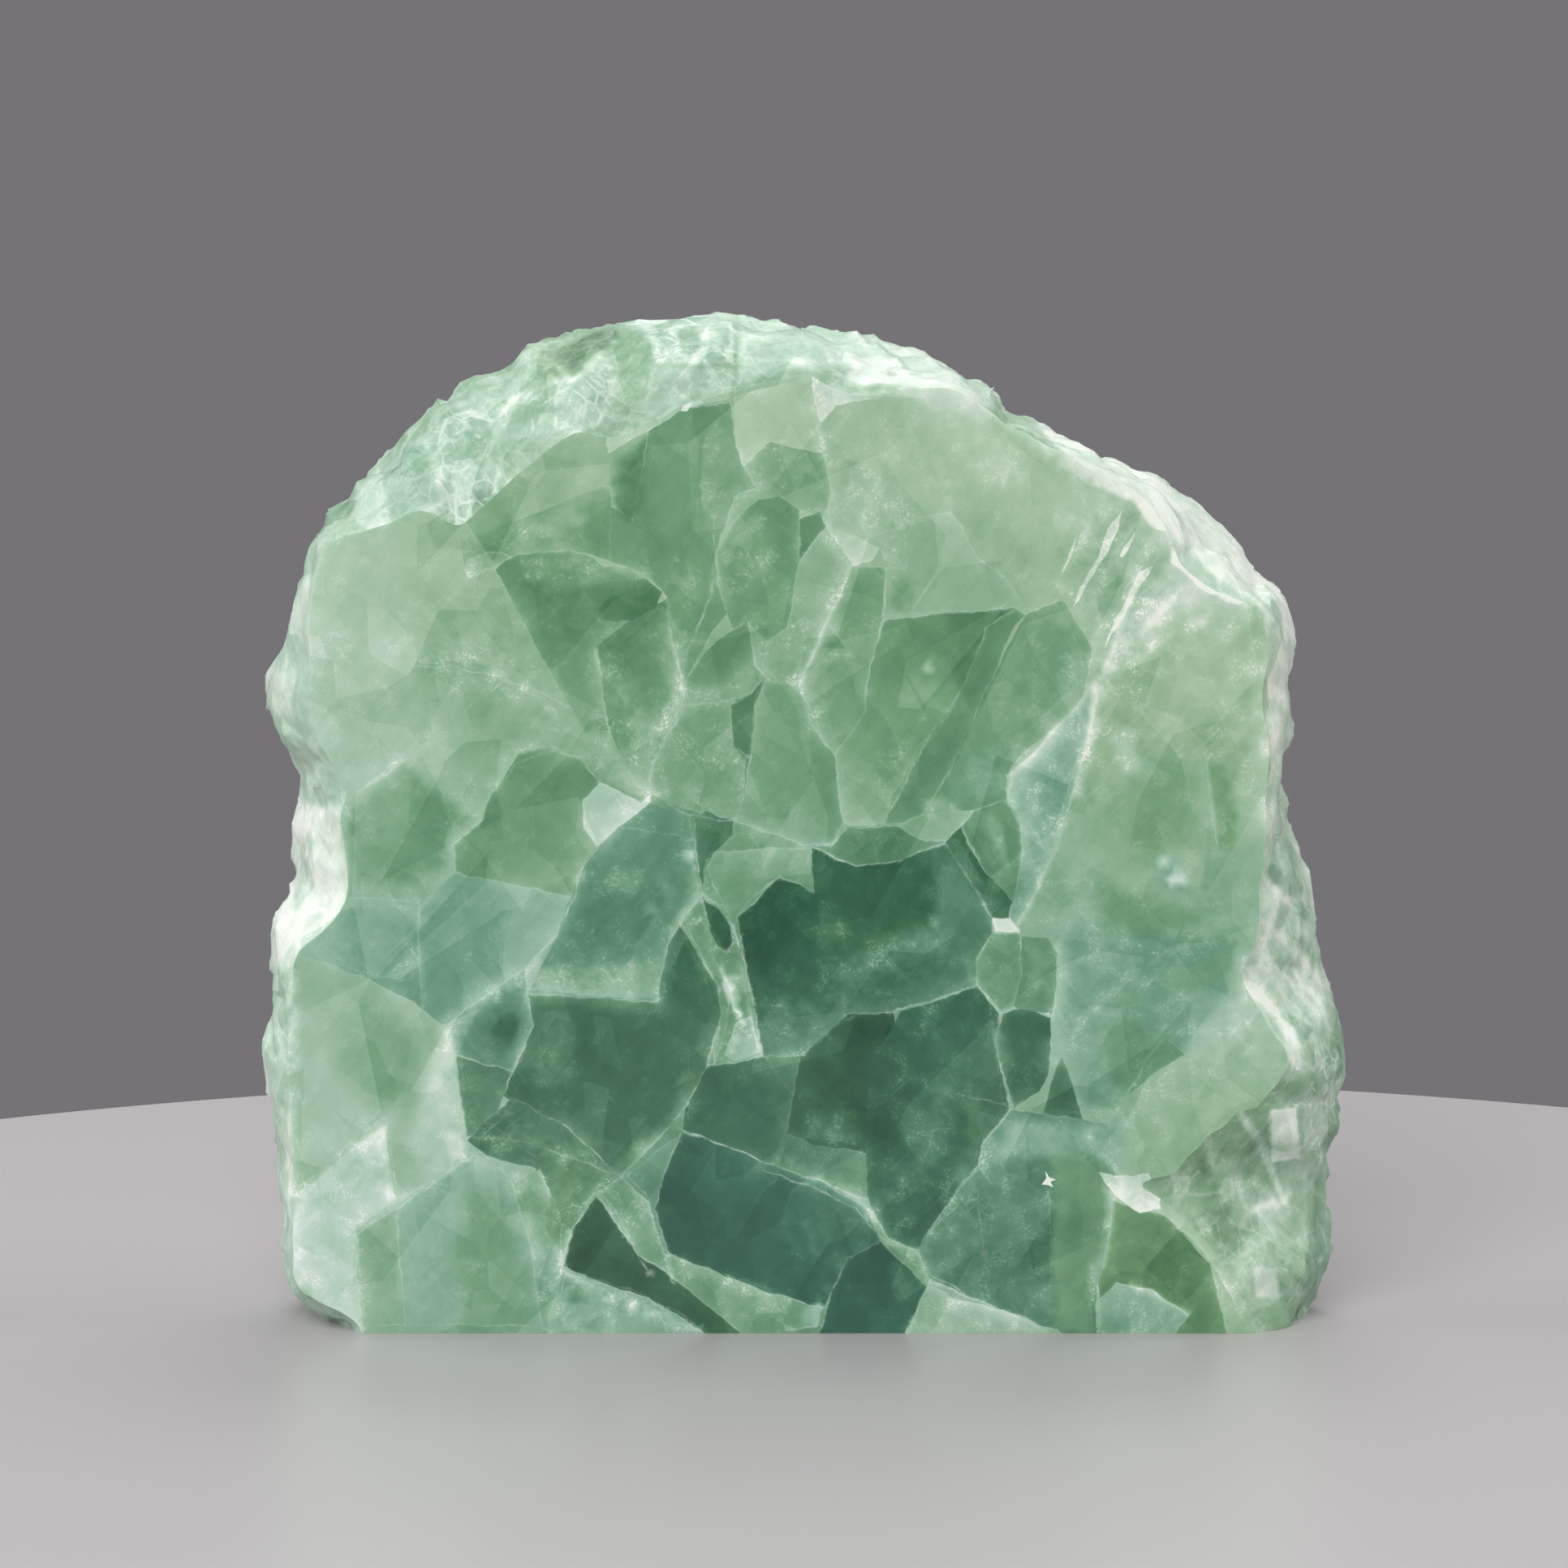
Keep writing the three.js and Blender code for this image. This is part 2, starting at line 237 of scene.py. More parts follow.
# %% Crystal blocks and their cleavage
def dice(cells, seed, count):
    """Repeatable numbers from 0 to 1 for each cell, an array of (cells, count)."""
    spread = np.array([127.1, 311.7, 74.7])
    steps = np.arange(count) * 53.3 + seed * 17.9
    wave = np.sin((cells @ spread)[:, None] + steps) * 43758.5453
    return wave - np.floor(wave)


def block_of(points, size, seed):
    """The cell number, as three whole numbers, of the crystal block each point belongs to."""
    spots = points / size
    home = np.floor(spots)
    nearest = np.full(len(points), 9.0)
    block = home.copy()
    for step in np.ndindex(3, 3, 3):
        cells = home + np.array(step) - 1
        far = np.linalg.norm(spots - cells - dice(cells, seed, 3), axis=1)
        block = np.where((far < nearest)[:, None], cells, block)
        nearest = np.minimum(nearest, far)
    return block


def cleavage_axes(blocks, seed):
    """Three directions at right angles for each block, an array of (blocks, 3, 3)."""
    draw = dice(blocks, seed, 6) - 0.5
    first = draw[:, :3] / np.linalg.norm(draw[:, :3], axis=1)[:, None]
    second = np.cross(first, draw[:, 3:])
    second /= np.linalg.norm(second, axis=1)[:, None]
    return np.stack([first, second, np.cross(first, second)], axis=1)


def drawn_out(points, along, stretch):
    """The points squeezed along a direction, so that a pattern laid on them is drawn out that way."""
    along = np.array(along) / np.linalg.norm(along)
    return points - np.outer(points @ along, along) * (1 - 1 / stretch)


# %% Break the rind along its cleavage
CLEAVAGES = [
    {"block": 13.0 * MM, "step": 4.2 * MM, "depth": 0.34, "seed": 3},
    {"block": 5.5 * MM, "step": 2.4 * MM, "depth": 0.22, "seed": 8},
    {"block": 3.0 * MM, "step": 1.6 * MM, "depth": 0.12, "seed": 12},
]
RISER = 0.35
LEFT_GRAIN = (0.72, 0.1, 0.69)
RIGHT_GRAIN = (0.50, 0.1, -0.86)
GRAIN_STRETCH = 1.8
FADE_DEPTH = 2.5 * MM
EDGE_SHARE = 0.3
FRONT_CALM = 0.6
FRONT_SLOPE = 1.5
KEPT_DEPTH = 0.4
RIDGE_RISE = 8
RIDGE_START = 3

count = len(stone.data.vertices)
points = np.zeros(count * 3)
stone.data.vertices.foreach_get("co", points)
points = points.reshape(-1, 3)
normals = np.zeros(count * 3)
stone.data.vertex_normals.foreach_get("vector", normals)
normals = normals.reshape(-1, 3)
share = np.clip((points[:, 1] - FACE_Y) / FADE_DEPTH, EDGE_SHARE, 1)
share *= 1 - FRONT_CALM * np.clip(-FRONT_SLOPE * normals[:, 1], 0, 1)
ridges = np.zeros(count)
depths = points[:, 1] - FACE_Y
for cleavage in CLEAVAGES:
    laid = np.where(
        (points[:, 0] < 0)[:, None],
        drawn_out(points, LEFT_GRAIN, GRAIN_STRETCH),
        drawn_out(points, RIGHT_GRAIN, GRAIN_STRETCH),
    )
    blocks = block_of(laid, cleavage["block"], cleavage["seed"])
    axes = cleavage_axes(blocks, cleavage["seed"])
    facing = np.abs(np.einsum("nij,nj->ni", axes, normals)).argmax(axis=1)
    axis = axes[np.arange(count), facing]
    level = (points * axis).sum(axis=1) / cleavage["step"] + dice(blocks, cleavage["seed"] + 1, 1)[:, 0]
    part = level - np.floor(level)
    shift = np.where(part < 1 - RISER, 0.5 - part / (1 - RISER), (part - 1) / RISER + 0.5)
    points += axis * (shift * cleavage["step"] * cleavage["depth"] * share)[:, None]
    crest = np.clip(shift * RIDGE_RISE - RIDGE_START, 0, 1)
    ridges = np.maximum(ridges, crest * cleavage["step"] / CLEAVAGES[0]["step"])
kept_depths = np.where(depths > 0, np.maximum(points[:, 1] - FACE_Y, KEPT_DEPTH * depths), depths)
points[:, 1] = FACE_Y + kept_depths
points = np.clip(points, np.array(stone_low) - SAW_SPARE * np.array([0, 1, 1]), np.array(stone_high))
stone.data.vertices.foreach_set("co", points.ravel())
ridge_mark = stone.data.attributes.new("ridge", "FLOAT", "POINT")
ridge_mark.data.foreach_set("value", ridges)
stone.data.update()
print("moved onto cleavage planes,", round(float((ridges > 0.5).mean()), 2), "of the points on ridges")

# %% Ease the sharpest folds of the rind in front
EASE = 0.4
EASE_ROUNDS = 2

select_faces(lambda face: face.normal.y < FRONT_TURN and face.center.y > FACE_Y and face.center.z > 0)
bpy.ops.mesh.vertices_smooth(factor=EASE, repeat=EASE_ROUNDS)
bpy.ops.object.mode_set(mode="OBJECT")
print("folds eased")

# %% Saw the base and the face again
SAW_SNAP = 0.001 * MM
LONG_EDGE = 1.2 * MM

bpy.ops.object.mode_set(mode="EDIT")
bpy.ops.mesh.select_all(action="SELECT")
bpy.ops.mesh.bisect(
    plane_co=(0, 0, 0),
    plane_no=(0, 0, 1),
    clear_inner=True,
    use_fill=True,
    threshold=SAW_SNAP,
)
bpy.ops.mesh.select_all(action="SELECT")
bpy.ops.mesh.bisect(
    plane_co=(0, FACE_Y, 0),
    plane_no=(0, 1, 0),
    clear_inner=True,
    use_fill=False,
    threshold=SAW_SNAP,
)
bpy.ops.object.mode_set(mode="OBJECT")
print("sawn", len(stone.data.vertices), "points")

# %% [markdown]
# ## The polished face
# The face is a mosaic. Each grain has a name, a tone from 0 (deep green) to 1 (white), and an outline
# given in pixels of the camera's frame. Grains are laid one over the other in the order they are
# listed, so a small grain can sit on a large one. A few more numbers give a grain its character:
# warmth runs from -1 (bluish) to 1 (olive), cloud is how milky and uneven it is, sparkle how many
# flecks it holds, rim how much paler it gets at its border, drift how its tone changes to the right
# and upwards, seam how bright its border line is, and soft how many millimetres its border fades over.
# A few of the small bright grains are painted glints, laid the same way.

# %% Tools for tracing grains
GRAINS = []
LINES = []
VEILS = []
PATCHES = []
STREAKS = []
BORDER_STEP = 0.55


def trace(text):
    """Places on the face in millimetres, from a text of 'x,y x,y ...' pixels of the frame."""
    pixels = [[float(part) for part in pair.split(",")] for pair in text.split()]
    return cast(pixels) / MM


def wander(places):
    """Moves places by up to a tenth of a millimetre or so, so that straight lines look grown."""
    x, z = places.T
    right = 0.07 * np.sin(1.1 * x + 0.7 * z + 1) + 0.05 * np.sin(3.9 * z - 2.3 * x)
    right += 0.03 * np.sin(9.1 * z + 5 * x)
    up = 0.07 * np.sin(0.9 * z - 1.2 * x + 2) + 0.05 * np.sin(3.7 * x + 2.9 * z)
    up += 0.03 * np.sin(8.3 * x - 6 * z)
    return places + np.stack([right, up], axis=-1)


def drawn(path, closed):
    """The path with a point every BORDER_STEP millimetres, wandering a little."""
    ends = np.vstack([path, path[:1]]) if closed else path
    rows = []
    for start, end in zip(ends[:-1], ends[1:]):
        parts = max(1, round(float(np.linalg.norm(end - start)) / BORDER_STEP))
        rows.append(start + (end - start) * (np.arange(parts) / parts)[:, None])
    if not closed:
        rows.append(ends[-1:])
    return wander(np.vstack(rows))


def grain(name, tone, outline, **traits):
    character = {
        "name": name,
        "tone": tone,
        "outline": drawn(trace(outline), closed=True),
        "warmth": 0.15,
        "cloud": 0.5,
        "sparkle": 0.0,
        "rim": 0.045,
        "drift": (0.0, 0.0),
        "seam": 0.09,
        "soft": 0.0,
    }
    character.update(traits)
    GRAINS.append(character)


def patch(name, tone, outline, **traits):
    """A soft patch on the rough rind, told in the same way as a grain of the face."""
    grain(name, tone, outline, **{"cloud": 0.9, "sparkle": 0.25, "soft": 1.5, **traits})
    PATCHES.append(GRAINS.pop())


def line(name, strength, path):
    """A bright seam along a path."""
    LINES.append({"name": name, "strength": strength, "path": drawn(trace(path), closed=False)})


def milky(name, lift, width, path, one_sided=False):
    """A band along a path that fades over its width in millimetres: a positive lift makes it milky, a
    negative lift darkens the tone as painted shade.
    """
    path = drawn(trace(path), closed=False)
    return {"name": name, "lift": lift, "width": width, "path": path, "one_sided": one_sided}


def veil(name, lift, width, path):
    """A milky streak in the polished face. A negative lift makes it a line of painted shade instead."""
    VEILS.append(milky(name, lift, width, path))


def bank(name, lift, width, path, seam=0.0):
    """A milky bank to the right of a path. It is sharp along the path, and thins out away from it."""
    VEILS.append(milky(name, lift, width, path, one_sided=True))
    LINES.append({"name": name, "strength": seam, "path": VEILS[-1]["path"]})


def streak(name, lift, width, path):
    """A streak on the rough rind. Most are milky; a negative lift makes a line of painted shade, and a few
    are painted highlights.
    """
    STREAKS.append(milky(name, lift, width, path))


# %% Broad soft tones under the grains
# Each one is a name, a tone, a warmth and the pixel where it holds. Between them they blend softly.
# Near the silhouette the tones are set paler, partly as painted glow of light through the thin edges.
GROUND = [
    ("left_facet", 0.80, 0.0, (365, 820)),
    ("left_facet_foot", 0.76, 0.0, (360, 930)),
    ("left_shoulder", 0.71, 0.1, (450, 820)),
    ("left_shoulder_low", 0.69, 0.1, (450, 900)),
    ("shoulder_middle", 0.60, 0.3, (560, 760)),
    ("shoulder_inner", 0.55, 0.2, (610, 880)),
    ("under_cluster", 0.58, 0.4, (640, 700)),
    ("top_left_band", 0.66, 0.3, (860, 440)),
    ("top_band", 0.70, 0.0, (1000, 430)),
    ("top_band_right", 0.79, 0.1, (1140, 470)),
    ("upper_right", 0.67, 0.5, (1080, 540)),
    ("upper_right_inner", 0.66, 0.5, (1220, 560)),
    ("upper_right_low", 0.62, 0.3, (1200, 640)),
    ("right_top", 0.74, 0.3, (1350, 620)),
    ("right_rim", 0.84, 0.2, (1480, 660)),
    ("right_middle", 0.64, 0.4, (1300, 720)),
    ("right_meadow", 0.64, 0.6, (1480, 860)),
    ("right_flank", 0.80, 0.5, (1600, 900)),
    ("right_centre", 0.56, 0.2, (1420, 900)),
    ("right_low", 0.58, 0.1, (1500, 1130)),
    ("ground_right", 0.56, -0.2, (1400, 1220)),
    ("bite", 0.60, 0.6, (1540, 1400)),
    ("bite_low", 0.60, 0.7, (1500, 1560)),
    ("centre", 0.42, 0.0, (900, 960)),
    ("deep", 0.30, -0.1, (960, 1350)),
    ("foot", 0.45, 0.0, (900, 1620)),
    ("left_field", 0.54, 0.0, (470, 1130)),
    ("left_chip", 0.82, 0.0, (370, 1080)),
    ("left_low", 0.66, 0.0, (400, 1350)),
    ("left_foot", 0.72, 0.0, (370, 1570)),
]
print(len(GROUND), "broad tones")

# %% Grains of the upper left
grain(
    "top_left_slab", 0.47,
    "566,663 640,640 740,600 752,600 752,690 700,677 630,685 575,714",
    warmth=0.2, drift=(-0.03, 0.04),
)
grain(
    "umbrella_left", 0.42,
    "610,700 630,685 700,677 730,688 745,697 775,700 800,712 775,765 735,800 730,800 750,900 735,930 "
    "670,815",
    drift=(0.04, -0.03), rim=0.08, sparkle=0.3,
)
grain(
    "umbrella_right", 0.40,
    "735,795 775,765 800,752 822,737 826,785 835,812 842,860 825,900 805,940 800,975 765,930 752,900 "
    "745,860",
    drift=(0.0, -0.02), cloud=0.7,
)
grain("umbrella_lens", 0.34, "718,722 745,716 795,712 815,730 808,750 780,765 740,765", seam=0.2)
grain(
    "tall_pane", 0.44,
    "800,530 840,505 900,495 905,545 917,573 930,600 905,612 895,640 880,690 895,755 870,790 845,840 "
    "835,812 826,785 822,737 800,712 752,690 752,625 780,640",
    drift=(0.02, 0.03), cloud=0.35, seam=0.35,
)
grain("dark_wedge", 0.38, "750,610 762,562 775,548 803,528 806,560 800,620 780,650 756,640", soft=0.9)
grain(
    "top_left_strip", 0.72,
    "765,430 800,450 880,440 905,450 900,490 840,505 800,530 780,540 750,560 738,490",
    cloud=0.8, sparkle=0.6,
)
grain(
    "pale_top_pane", 0.69,
    "905,488 995,465 1005,500 1015,560 950,545 915,575 905,545",
    warmth=0.5, cloud=0.4,
)

# %% Grains of the upper middle
grain(
    "veil_block", 0.62,
    "1018,640 1040,560 1085,590 1120,610 1145,625 1120,640 1115,670 1118,700 1090,690 1085,675 1050,660",
    cloud=0.9, sparkle=0.5,
)
grain(
    "speckled_middle", 0.55,
    "915,575 950,545 1015,560 1022,600 1018,640 1000,632 980,625 935,615 905,640 895,640 905,612 930,600",
    sparkle=0.8, cloud=0.7,
)
grain(
    "dark_hood", 0.42,
    "905,640 935,615 960,612 985,628 985,690 980,740 990,760 945,790 920,765 905,780 895,755 882,720 "
    "885,680",
    sparkle=0.6, rim=0.1,
)
grain("small_dark", 0.34, "1000,635 1010,632 1018,648 985,690 985,640")
grain(
    "upper_pond", 0.61,
    "1090,700 1118,700 1115,670 1125,640 1170,630 1185,650 1205,690 1240,712 1260,745 1250,750 "
    "1150,757 1090,765",
    drift=(0.0, 0.03), cloud=0.3, seam=0.35,
)
grain(
    "right_blade", 0.51,
    "1052,697 1090,700 1088,765 1072,820 1065,880 1040,917 1028,930 1000,895 985,848 1005,800 1030,745",
    drift=(0.03, -0.04), cloud=0.5, seam=0.6,
)
grain("blade_shadow", 0.42, "1010,800 1020,765 1045,800", seam=0.3)
grain("pale_blade", 0.56, "1018,648 1050,690 1030,745 1005,800 985,840 965,800 985,690", seam=0.7)
grain("bright_patch", 0.69, "1018,648 1050,660 1085,675 1075,690 1052,697", cloud=0.9)
grain(
    "silver_pod", 0.56,
    "920,765 945,790 990,760 1010,770 1003,800 985,840 975,847 950,843 930,820",
    sparkle=0.9, cloud=0.8,
)
grain(
    "mid_wing", 0.46,
    "845,840 870,800 920,765 930,820 945,838 925,855 905,862 848,868",
    drift=(0.04, -0.03), seam=0.7,
)
grain(
    "sparkle_block", 0.52,
    "848,868 905,862 905,920 920,940 915,985 905,1010 850,1000 803,978 800,950 812,920 825,900",
    sparkle=0.9, cloud=0.6, drift=(0.0, -0.03),
)
grain(
    "pale_column", 0.49,
    "945,838 985,848 1000,895 1028,930 1033,980 1040,1015 1025,1040 990,1040 905,1012 915,985 925,935 "
    "930,870",
    cloud=0.35, drift=(-0.03, 0.02), seam=0.6,
)
grain("dark_notch", 0.32, "943,836 930,870 925,905 925,935 905,920 900,870 925,855", seam=0.35)
grain(
    "green_drape", 0.46,
    "1090,765 1150,757 1250,750 1215,775 1190,840 1140,915 1090,1015 1045,1018 1040,1015 1033,980 1028,930 "
    "1040,917 1065,880 1072,820",
    warmth=0.3, drift=(-0.08, -0.06), cloud=0.35, seam=0.5,
)
# The next two are painted glints: small bright streaks of reflected light, laid as grains.
grain(
    "drape_glint", 0.90,
    "1132,828 1138,818 1148,809 1153,811 1146,820 1138,829",
    soft=0.25, cloud=1.8, sparkle=1.0,
)
grain(
    "drape_glint_two", 0.84,
    "1144,826 1152,816 1160,808 1162,812 1154,822",
    soft=0.25, cloud=1.8, warmth=-0.8,
)
grain(
    "drape_pane", 0.49,
    "1085,860 1128,830 1190,842 1150,905 1110,965 1070,975 1066,930",
    soft=1.2, warmth=0.3,
)
grain(
    "dark_sail", 0.45,
    "1262,757 1310,740 1345,800 1335,860 1270,930 1240,955 1240,985 1200,998 1140,1005 1180,930 1220,840",
    drift=(0.02, -0.02), cloud=0.35, rim=0.03, seam=0.3,
)
grain(
    "dark_sash", 0.43,
    "1250,770 1220,840 1180,930 1140,1000 1110,1015 1090,1015 1140,915 1190,840 1215,775 1250,750 1262,757",
    cloud=0.3, seam=0.3,
)
print("upper grains", len(GRAINS))

# %% Grains of the right side
grain(
    "right_veil", 0.62,
    "1310,740 1330,650 1400,600 1470,690 1440,755 1370,830 1345,850 1345,800",
    warmth=0.1, cloud=1.0, soft=2.5, sparkle=0.1,
)
grain(
    "right_meadow", 0.65,
    "1345,850 1435,755 1550,780 1555,900 1550,950 1420,940 1345,1000 1330,930",
    warmth=0.6, cloud=0.9, soft=2.0, sparkle=0.25,
)
grain(
    "eye_pool", 0.58,
    "1350,1000 1360,960 1405,945 1470,935 1490,945 1500,1050 1490,1110 1440,1130 1380,1120 1330,1060",
    warmth=0.5, cloud=0.6, soft=2.2, drift=(0.02, -0.02),
)
# A pale patch of painted glints.
grain(
    "glint_patch", 0.72,
    "1372,905 1392,893 1406,905 1400,930 1408,948 1385,955 1368,935",
    soft=0.5, sparkle=1.0, cloud=1.0,
)
# Painted glint: a small bluish highlight in the eye.
grain(
    "eye_spark", 0.92,
    "1437,1080 1446,1070 1455,1080 1448,1093 1438,1098",
    soft=0.35, warmth=-0.9, sparkle=1.0,
)
grain(
    "crack_fan", 0.55,
    "1240,985 1240,955 1270,930 1345,850 1335,930 1315,1000 1300,1050 1270,1110 1255,1140 1243,1135 "
    "1248,1110 1258,1050 1258,1020",
    warmth=-0.35, cloud=0.9, seam=0.6, sparkle=0.2,
)
grain("inner_plate", 0.42, "1200,998 1240,985 1258,1020 1260,1050 1248,1112 1215,1075 1185,1018", seam=0.6)
grain(
    "dark_sliver", 0.25,
    "1165,1038 1185,1018 1195,1045 1215,1075 1248,1110 1243,1133 1220,1132 1205,1100 1180,1075",
)
grain(
    "ground_right", 0.47,
    "1300,1160 1360,1120 1440,1145 1530,1150 1520,1230 1460,1305 1420,1325 1365,1380 1335,1380 "
    "1308,1300 1298,1250",
    warmth=-0.2, cloud=0.7, soft=1.2,
)
grain(
    "mid_island", 0.40,
    "1362,1250 1400,1250 1415,1270 1435,1280 1420,1300 1395,1340 1375,1355 1360,1300",
    soft=0.6,
)
grain("mid_island_two", 0.37, "1435,1280 1460,1300 1420,1325 1390,1350 1410,1310", seam=0.3)
grain("small_island", 0.43, "1385,1220 1395,1205 1400,1240 1375,1245", soft=0.4)
grain("leaf", 0.40, "1450,1195 1475,1190 1510,1165 1520,1185 1505,1200 1470,1225 1450,1230", soft=0.4)
# The next four are painted glints: thin white streaks of reflected light, laid as grains.
grain(
    "glint_long", 0.80,
    "1320,750 1338,712 1352,688 1366,652 1382,628 1377,655 1364,684 1350,702 1334,732",
    cloud=1.6, sparkle=1.0, seam=0.0,
)
grain("glint_short", 0.84, "1309,705 1318,680 1325,660 1322,680 1313,703", cloud=1.4, seam=0.0)
grain(
    "glint_low", 0.78,
    "1359,800 1374,764 1388,738 1404,706 1421,696 1410,714 1394,742 1372,780",
    cloud=1.6, sparkle=1.0, seam=0.0,
)
grain("glint_top", 0.82, "1380,686 1386,672 1398,654 1393,672 1384,686", cloud=1.4, seam=0.0)
grain("spark_right", 0.84, "1462,784 1470,768 1484,756 1494,752 1488,768 1472,782", sparkle=0.5, soft=0.4)
# The next two are milky, and set paler also as painted glow of light through the thin edge.
grain(
    "milky_edge_glow", 0.92,
    "1300,500 1450,520 1600,640 1640,760 1590,765 1550,750 1510,745 1480,728 1440,692 1448,664 "
    "1420,652 1395,622 1345,600 1310,560",
    soft=0.8, warmth=0.4, cloud=0.6,
)
grain(
    "milky_top_glow", 0.84,
    "1000,400 1150,400 1300,480 1400,540 1390,600 1330,590 1270,560 1225,522 1150,510 1100,480 "
    "1050,492 1005,480",
    soft=0.9, warmth=0.2, cloud=0.7,
)

# %% Small stones in the middle right
grain(
    "grey_stone", 0.44,
    "1222,1150 1258,1152 1258,1200 1250,1240 1235,1250 1220,1230 1203,1215 1203,1185",
    cloud=1.0, seam=0.6,
)
grain(
    "jade_tab", 0.35,
    "1258,1153 1290,1155 1302,1175 1302,1215 1296,1250 1275,1245 1255,1243 1250,1240 1258,1200",
)
grain(
    "black_oval", 0.17,
    "1235,1250 1255,1243 1275,1245 1293,1255 1295,1290 1292,1325 1280,1345 1250,1365 1240,1330 "
    "1225,1285 1225,1265",
    drift=(0.0, -0.07), rim=0.14,
)
grain("dark_triangle", 0.22, "1295,1335 1308,1302 1320,1330 1335,1380 1300,1376 1285,1372", rim=0.1)
grain("white_block", 0.88, "1222,1130 1245,1132 1258,1150 1225,1148", seam=0.8)
print("grains so far", len(GRAINS))

# %% Grains left of the centre
grain(
    "upper_left_field", 0.47,
    "430,985 500,930 595,1010 560,1040 555,1075 500,1100 432,1100 425,1050 420,1010",
    cloud=0.5, drift=(-0.05, 0.0), soft=1.4,
)
grain(
    "left_field", 0.52,
    "432,1105 515,1110 518,1240 548,1265 510,1235 450,1205 367,1175",
    warmth=-0.3, drift=(-0.08, 0.0), seam=0.3,
)
grain(
    "dome_cell", 0.44,
    "600,990 640,925 680,920 715,935 740,965 718,985 718,1020 738,1045 712,1080 708,1105 560,1075 "
    "560,1040 595,1010",
    warmth=0.3, drift=(0.06, -0.03), cloud=0.5, rim=0.1, seam=0.5,
)
grain(
    "drip_veil", 0.62,
    "750,900 765,930 790,960 803,978 790,988 740,965 700,925 715,900",
    soft=0.7, cloud=1.0,
)
grain(
    "left_mid_cell", 0.54,
    "515,1120 560,1075 708,1105 690,1150 645,1195 585,1235 548,1268 518,1240",
    warmth=-0.3, drift=(0.07, -0.02), rim=0.08, seam=0.4,
)
grain(
    "bright_flag", 0.74,
    "740,965 790,988 803,978 800,995 738,1045 718,1020 718,985",
    cloud=0.7, warmth=-0.2, seam=0.8,
)
grain(
    "bay_cell", 0.41,
    "738,1040 800,990 850,1005 855,1030 865,1100 838,1138 822,1165 820,1200 810,1235 740,1230 650,1225 "
    "685,1155 712,1080",
    warmth=-0.3, sparkle=0.5, drift=(-0.03, 0.0), rim=0.06,
)
grain(
    "bay_speckle", 0.50,
    "660,1190 700,1185 822,1180 815,1232 740,1228 652,1223",
    soft=0.9, sparkle=1.0, cloud=1.0,
)
grain("bay_burst", 0.50, "735,1085 760,1055 795,1075 785,1105 755,1100", soft=1.4, sparkle=1.0, cloud=1.0)
grain(
    "small_boot", 0.34,
    "585,1235 645,1195 650,1225 658,1265 632,1320 562,1300 552,1265",
    warmth=-0.3, rim=0.15, cloud=0.7, seam=0.6,
)
grain(
    "deep_centre_left", 0.22,
    "650,1225 740,1230 810,1235 822,1165 838,1138 885,1215 888,1250 870,1315 848,1360 810,1405 "
    "765,1450 700,1390 620,1350 635,1315 658,1265",
    warmth=0.15, drift=(0.02, -0.02), cloud=0.5, rim=0.1, seam=0.7,
)
grain("deep_smoke", 0.34, "655,1240 720,1240 720,1330 680,1360 640,1340", soft=2.2, cloud=1.0, sparkle=0.3)

# %% The white vein and the shelves above the deep centre
grain("dark_upper_slot", 0.30, "855,1010 870,1000 905,1012 900,1045 870,1060 865,1100 858,1040")
grain("shelf", 0.44, "905,1012 990,1040 940,1050 880,1050 903,1030", cloud=0.9)
grain(
    "deep_centre", 0.24,
    "1000,1045 1055,1068 1110,1060 1150,1045 1165,1040 1205,1100 1222,1135 1222,1150 1203,1180 "
    "1203,1215 1100,1247 1045,1250 1010,1290 990,1300 942,1302 920,1200 910,1130 960,1080 1003,1100",
    warmth=-0.2, drift=(0.10, -0.07), cloud=0.8, sparkle=0.25, rim=0.05, seam=0.7,
)
grain(
    "deep_core", 0.20,
    "1001,1049 1055,1070 1112,1062 1158,1060 1150,1150 1090,1170 1030,1190 1002,1150",
    cloud=0.4, warmth=0.3, soft=0.9,
)
grain(
    "core_step", 0.33,
    "1156,1060 1170,1050 1205,1105 1222,1140 1205,1175 1150,1190 1152,1120",
    cloud=0.6, warmth=-0.4, soft=0.7,
)
grain(
    "pale_shelf", 0.46,
    "880,1050 950,1045 1000,1045 1003,1100 960,1080 920,1110 905,1140 880,1090 872,1070",
    drift=(-0.02, 0.07), cloud=0.7, seam=0.5,
)
grain(
    "over_shelf", 0.37,
    "1000,1043 1025,1042 1045,1020 1105,1018 1140,1037 1165,1037 1110,1060 1055,1068 1005,1045",
    seam=0.8,
)
grain(
    "vein", 0.42,
    "838,1138 865,1100 885,1130 905,1140 920,1200 942,1302 870,1315 888,1250 885,1215",
    cloud=1.3, sparkle=0.9, rim=0.14, seam=0.8,
)
grain(
    "vein_fold", 0.44,
    "872,1168 890,1195 899,1240 888,1290 880,1315 888,1250 884,1212 862,1170",
    cloud=1.0, seam=0.5,
)
# The next two are painted glints on the white vein.
grain(
    "vein_glint", 0.72,
    "888,1210 897,1200 905,1214 914,1240 919,1260 908,1252 896,1234",
    soft=0.25, warmth=-0.3, cloud=1.8, sparkle=1.0,
)
grain(
    "vein_foot_glint", 0.62,
    "905,1262 926,1252 938,1296 905,1306 893,1300",
    warmth=-0.3, cloud=1.6, sparkle=0.8, seam=0.3,
)
grain("vein_hole", 0.19, "865,1105 885,1120 900,1140 902,1160 895,1172 884,1166 875,1150", seam=0.7)
grain(
    "bay_lip", 0.56,
    "838,1030 852,1045 860,1070 866,1100 842,1136 826,1160 822,1150 836,1118 852,1096 846,1062",
    cloud=1.1, sparkle=0.5, soft=0.25,
)

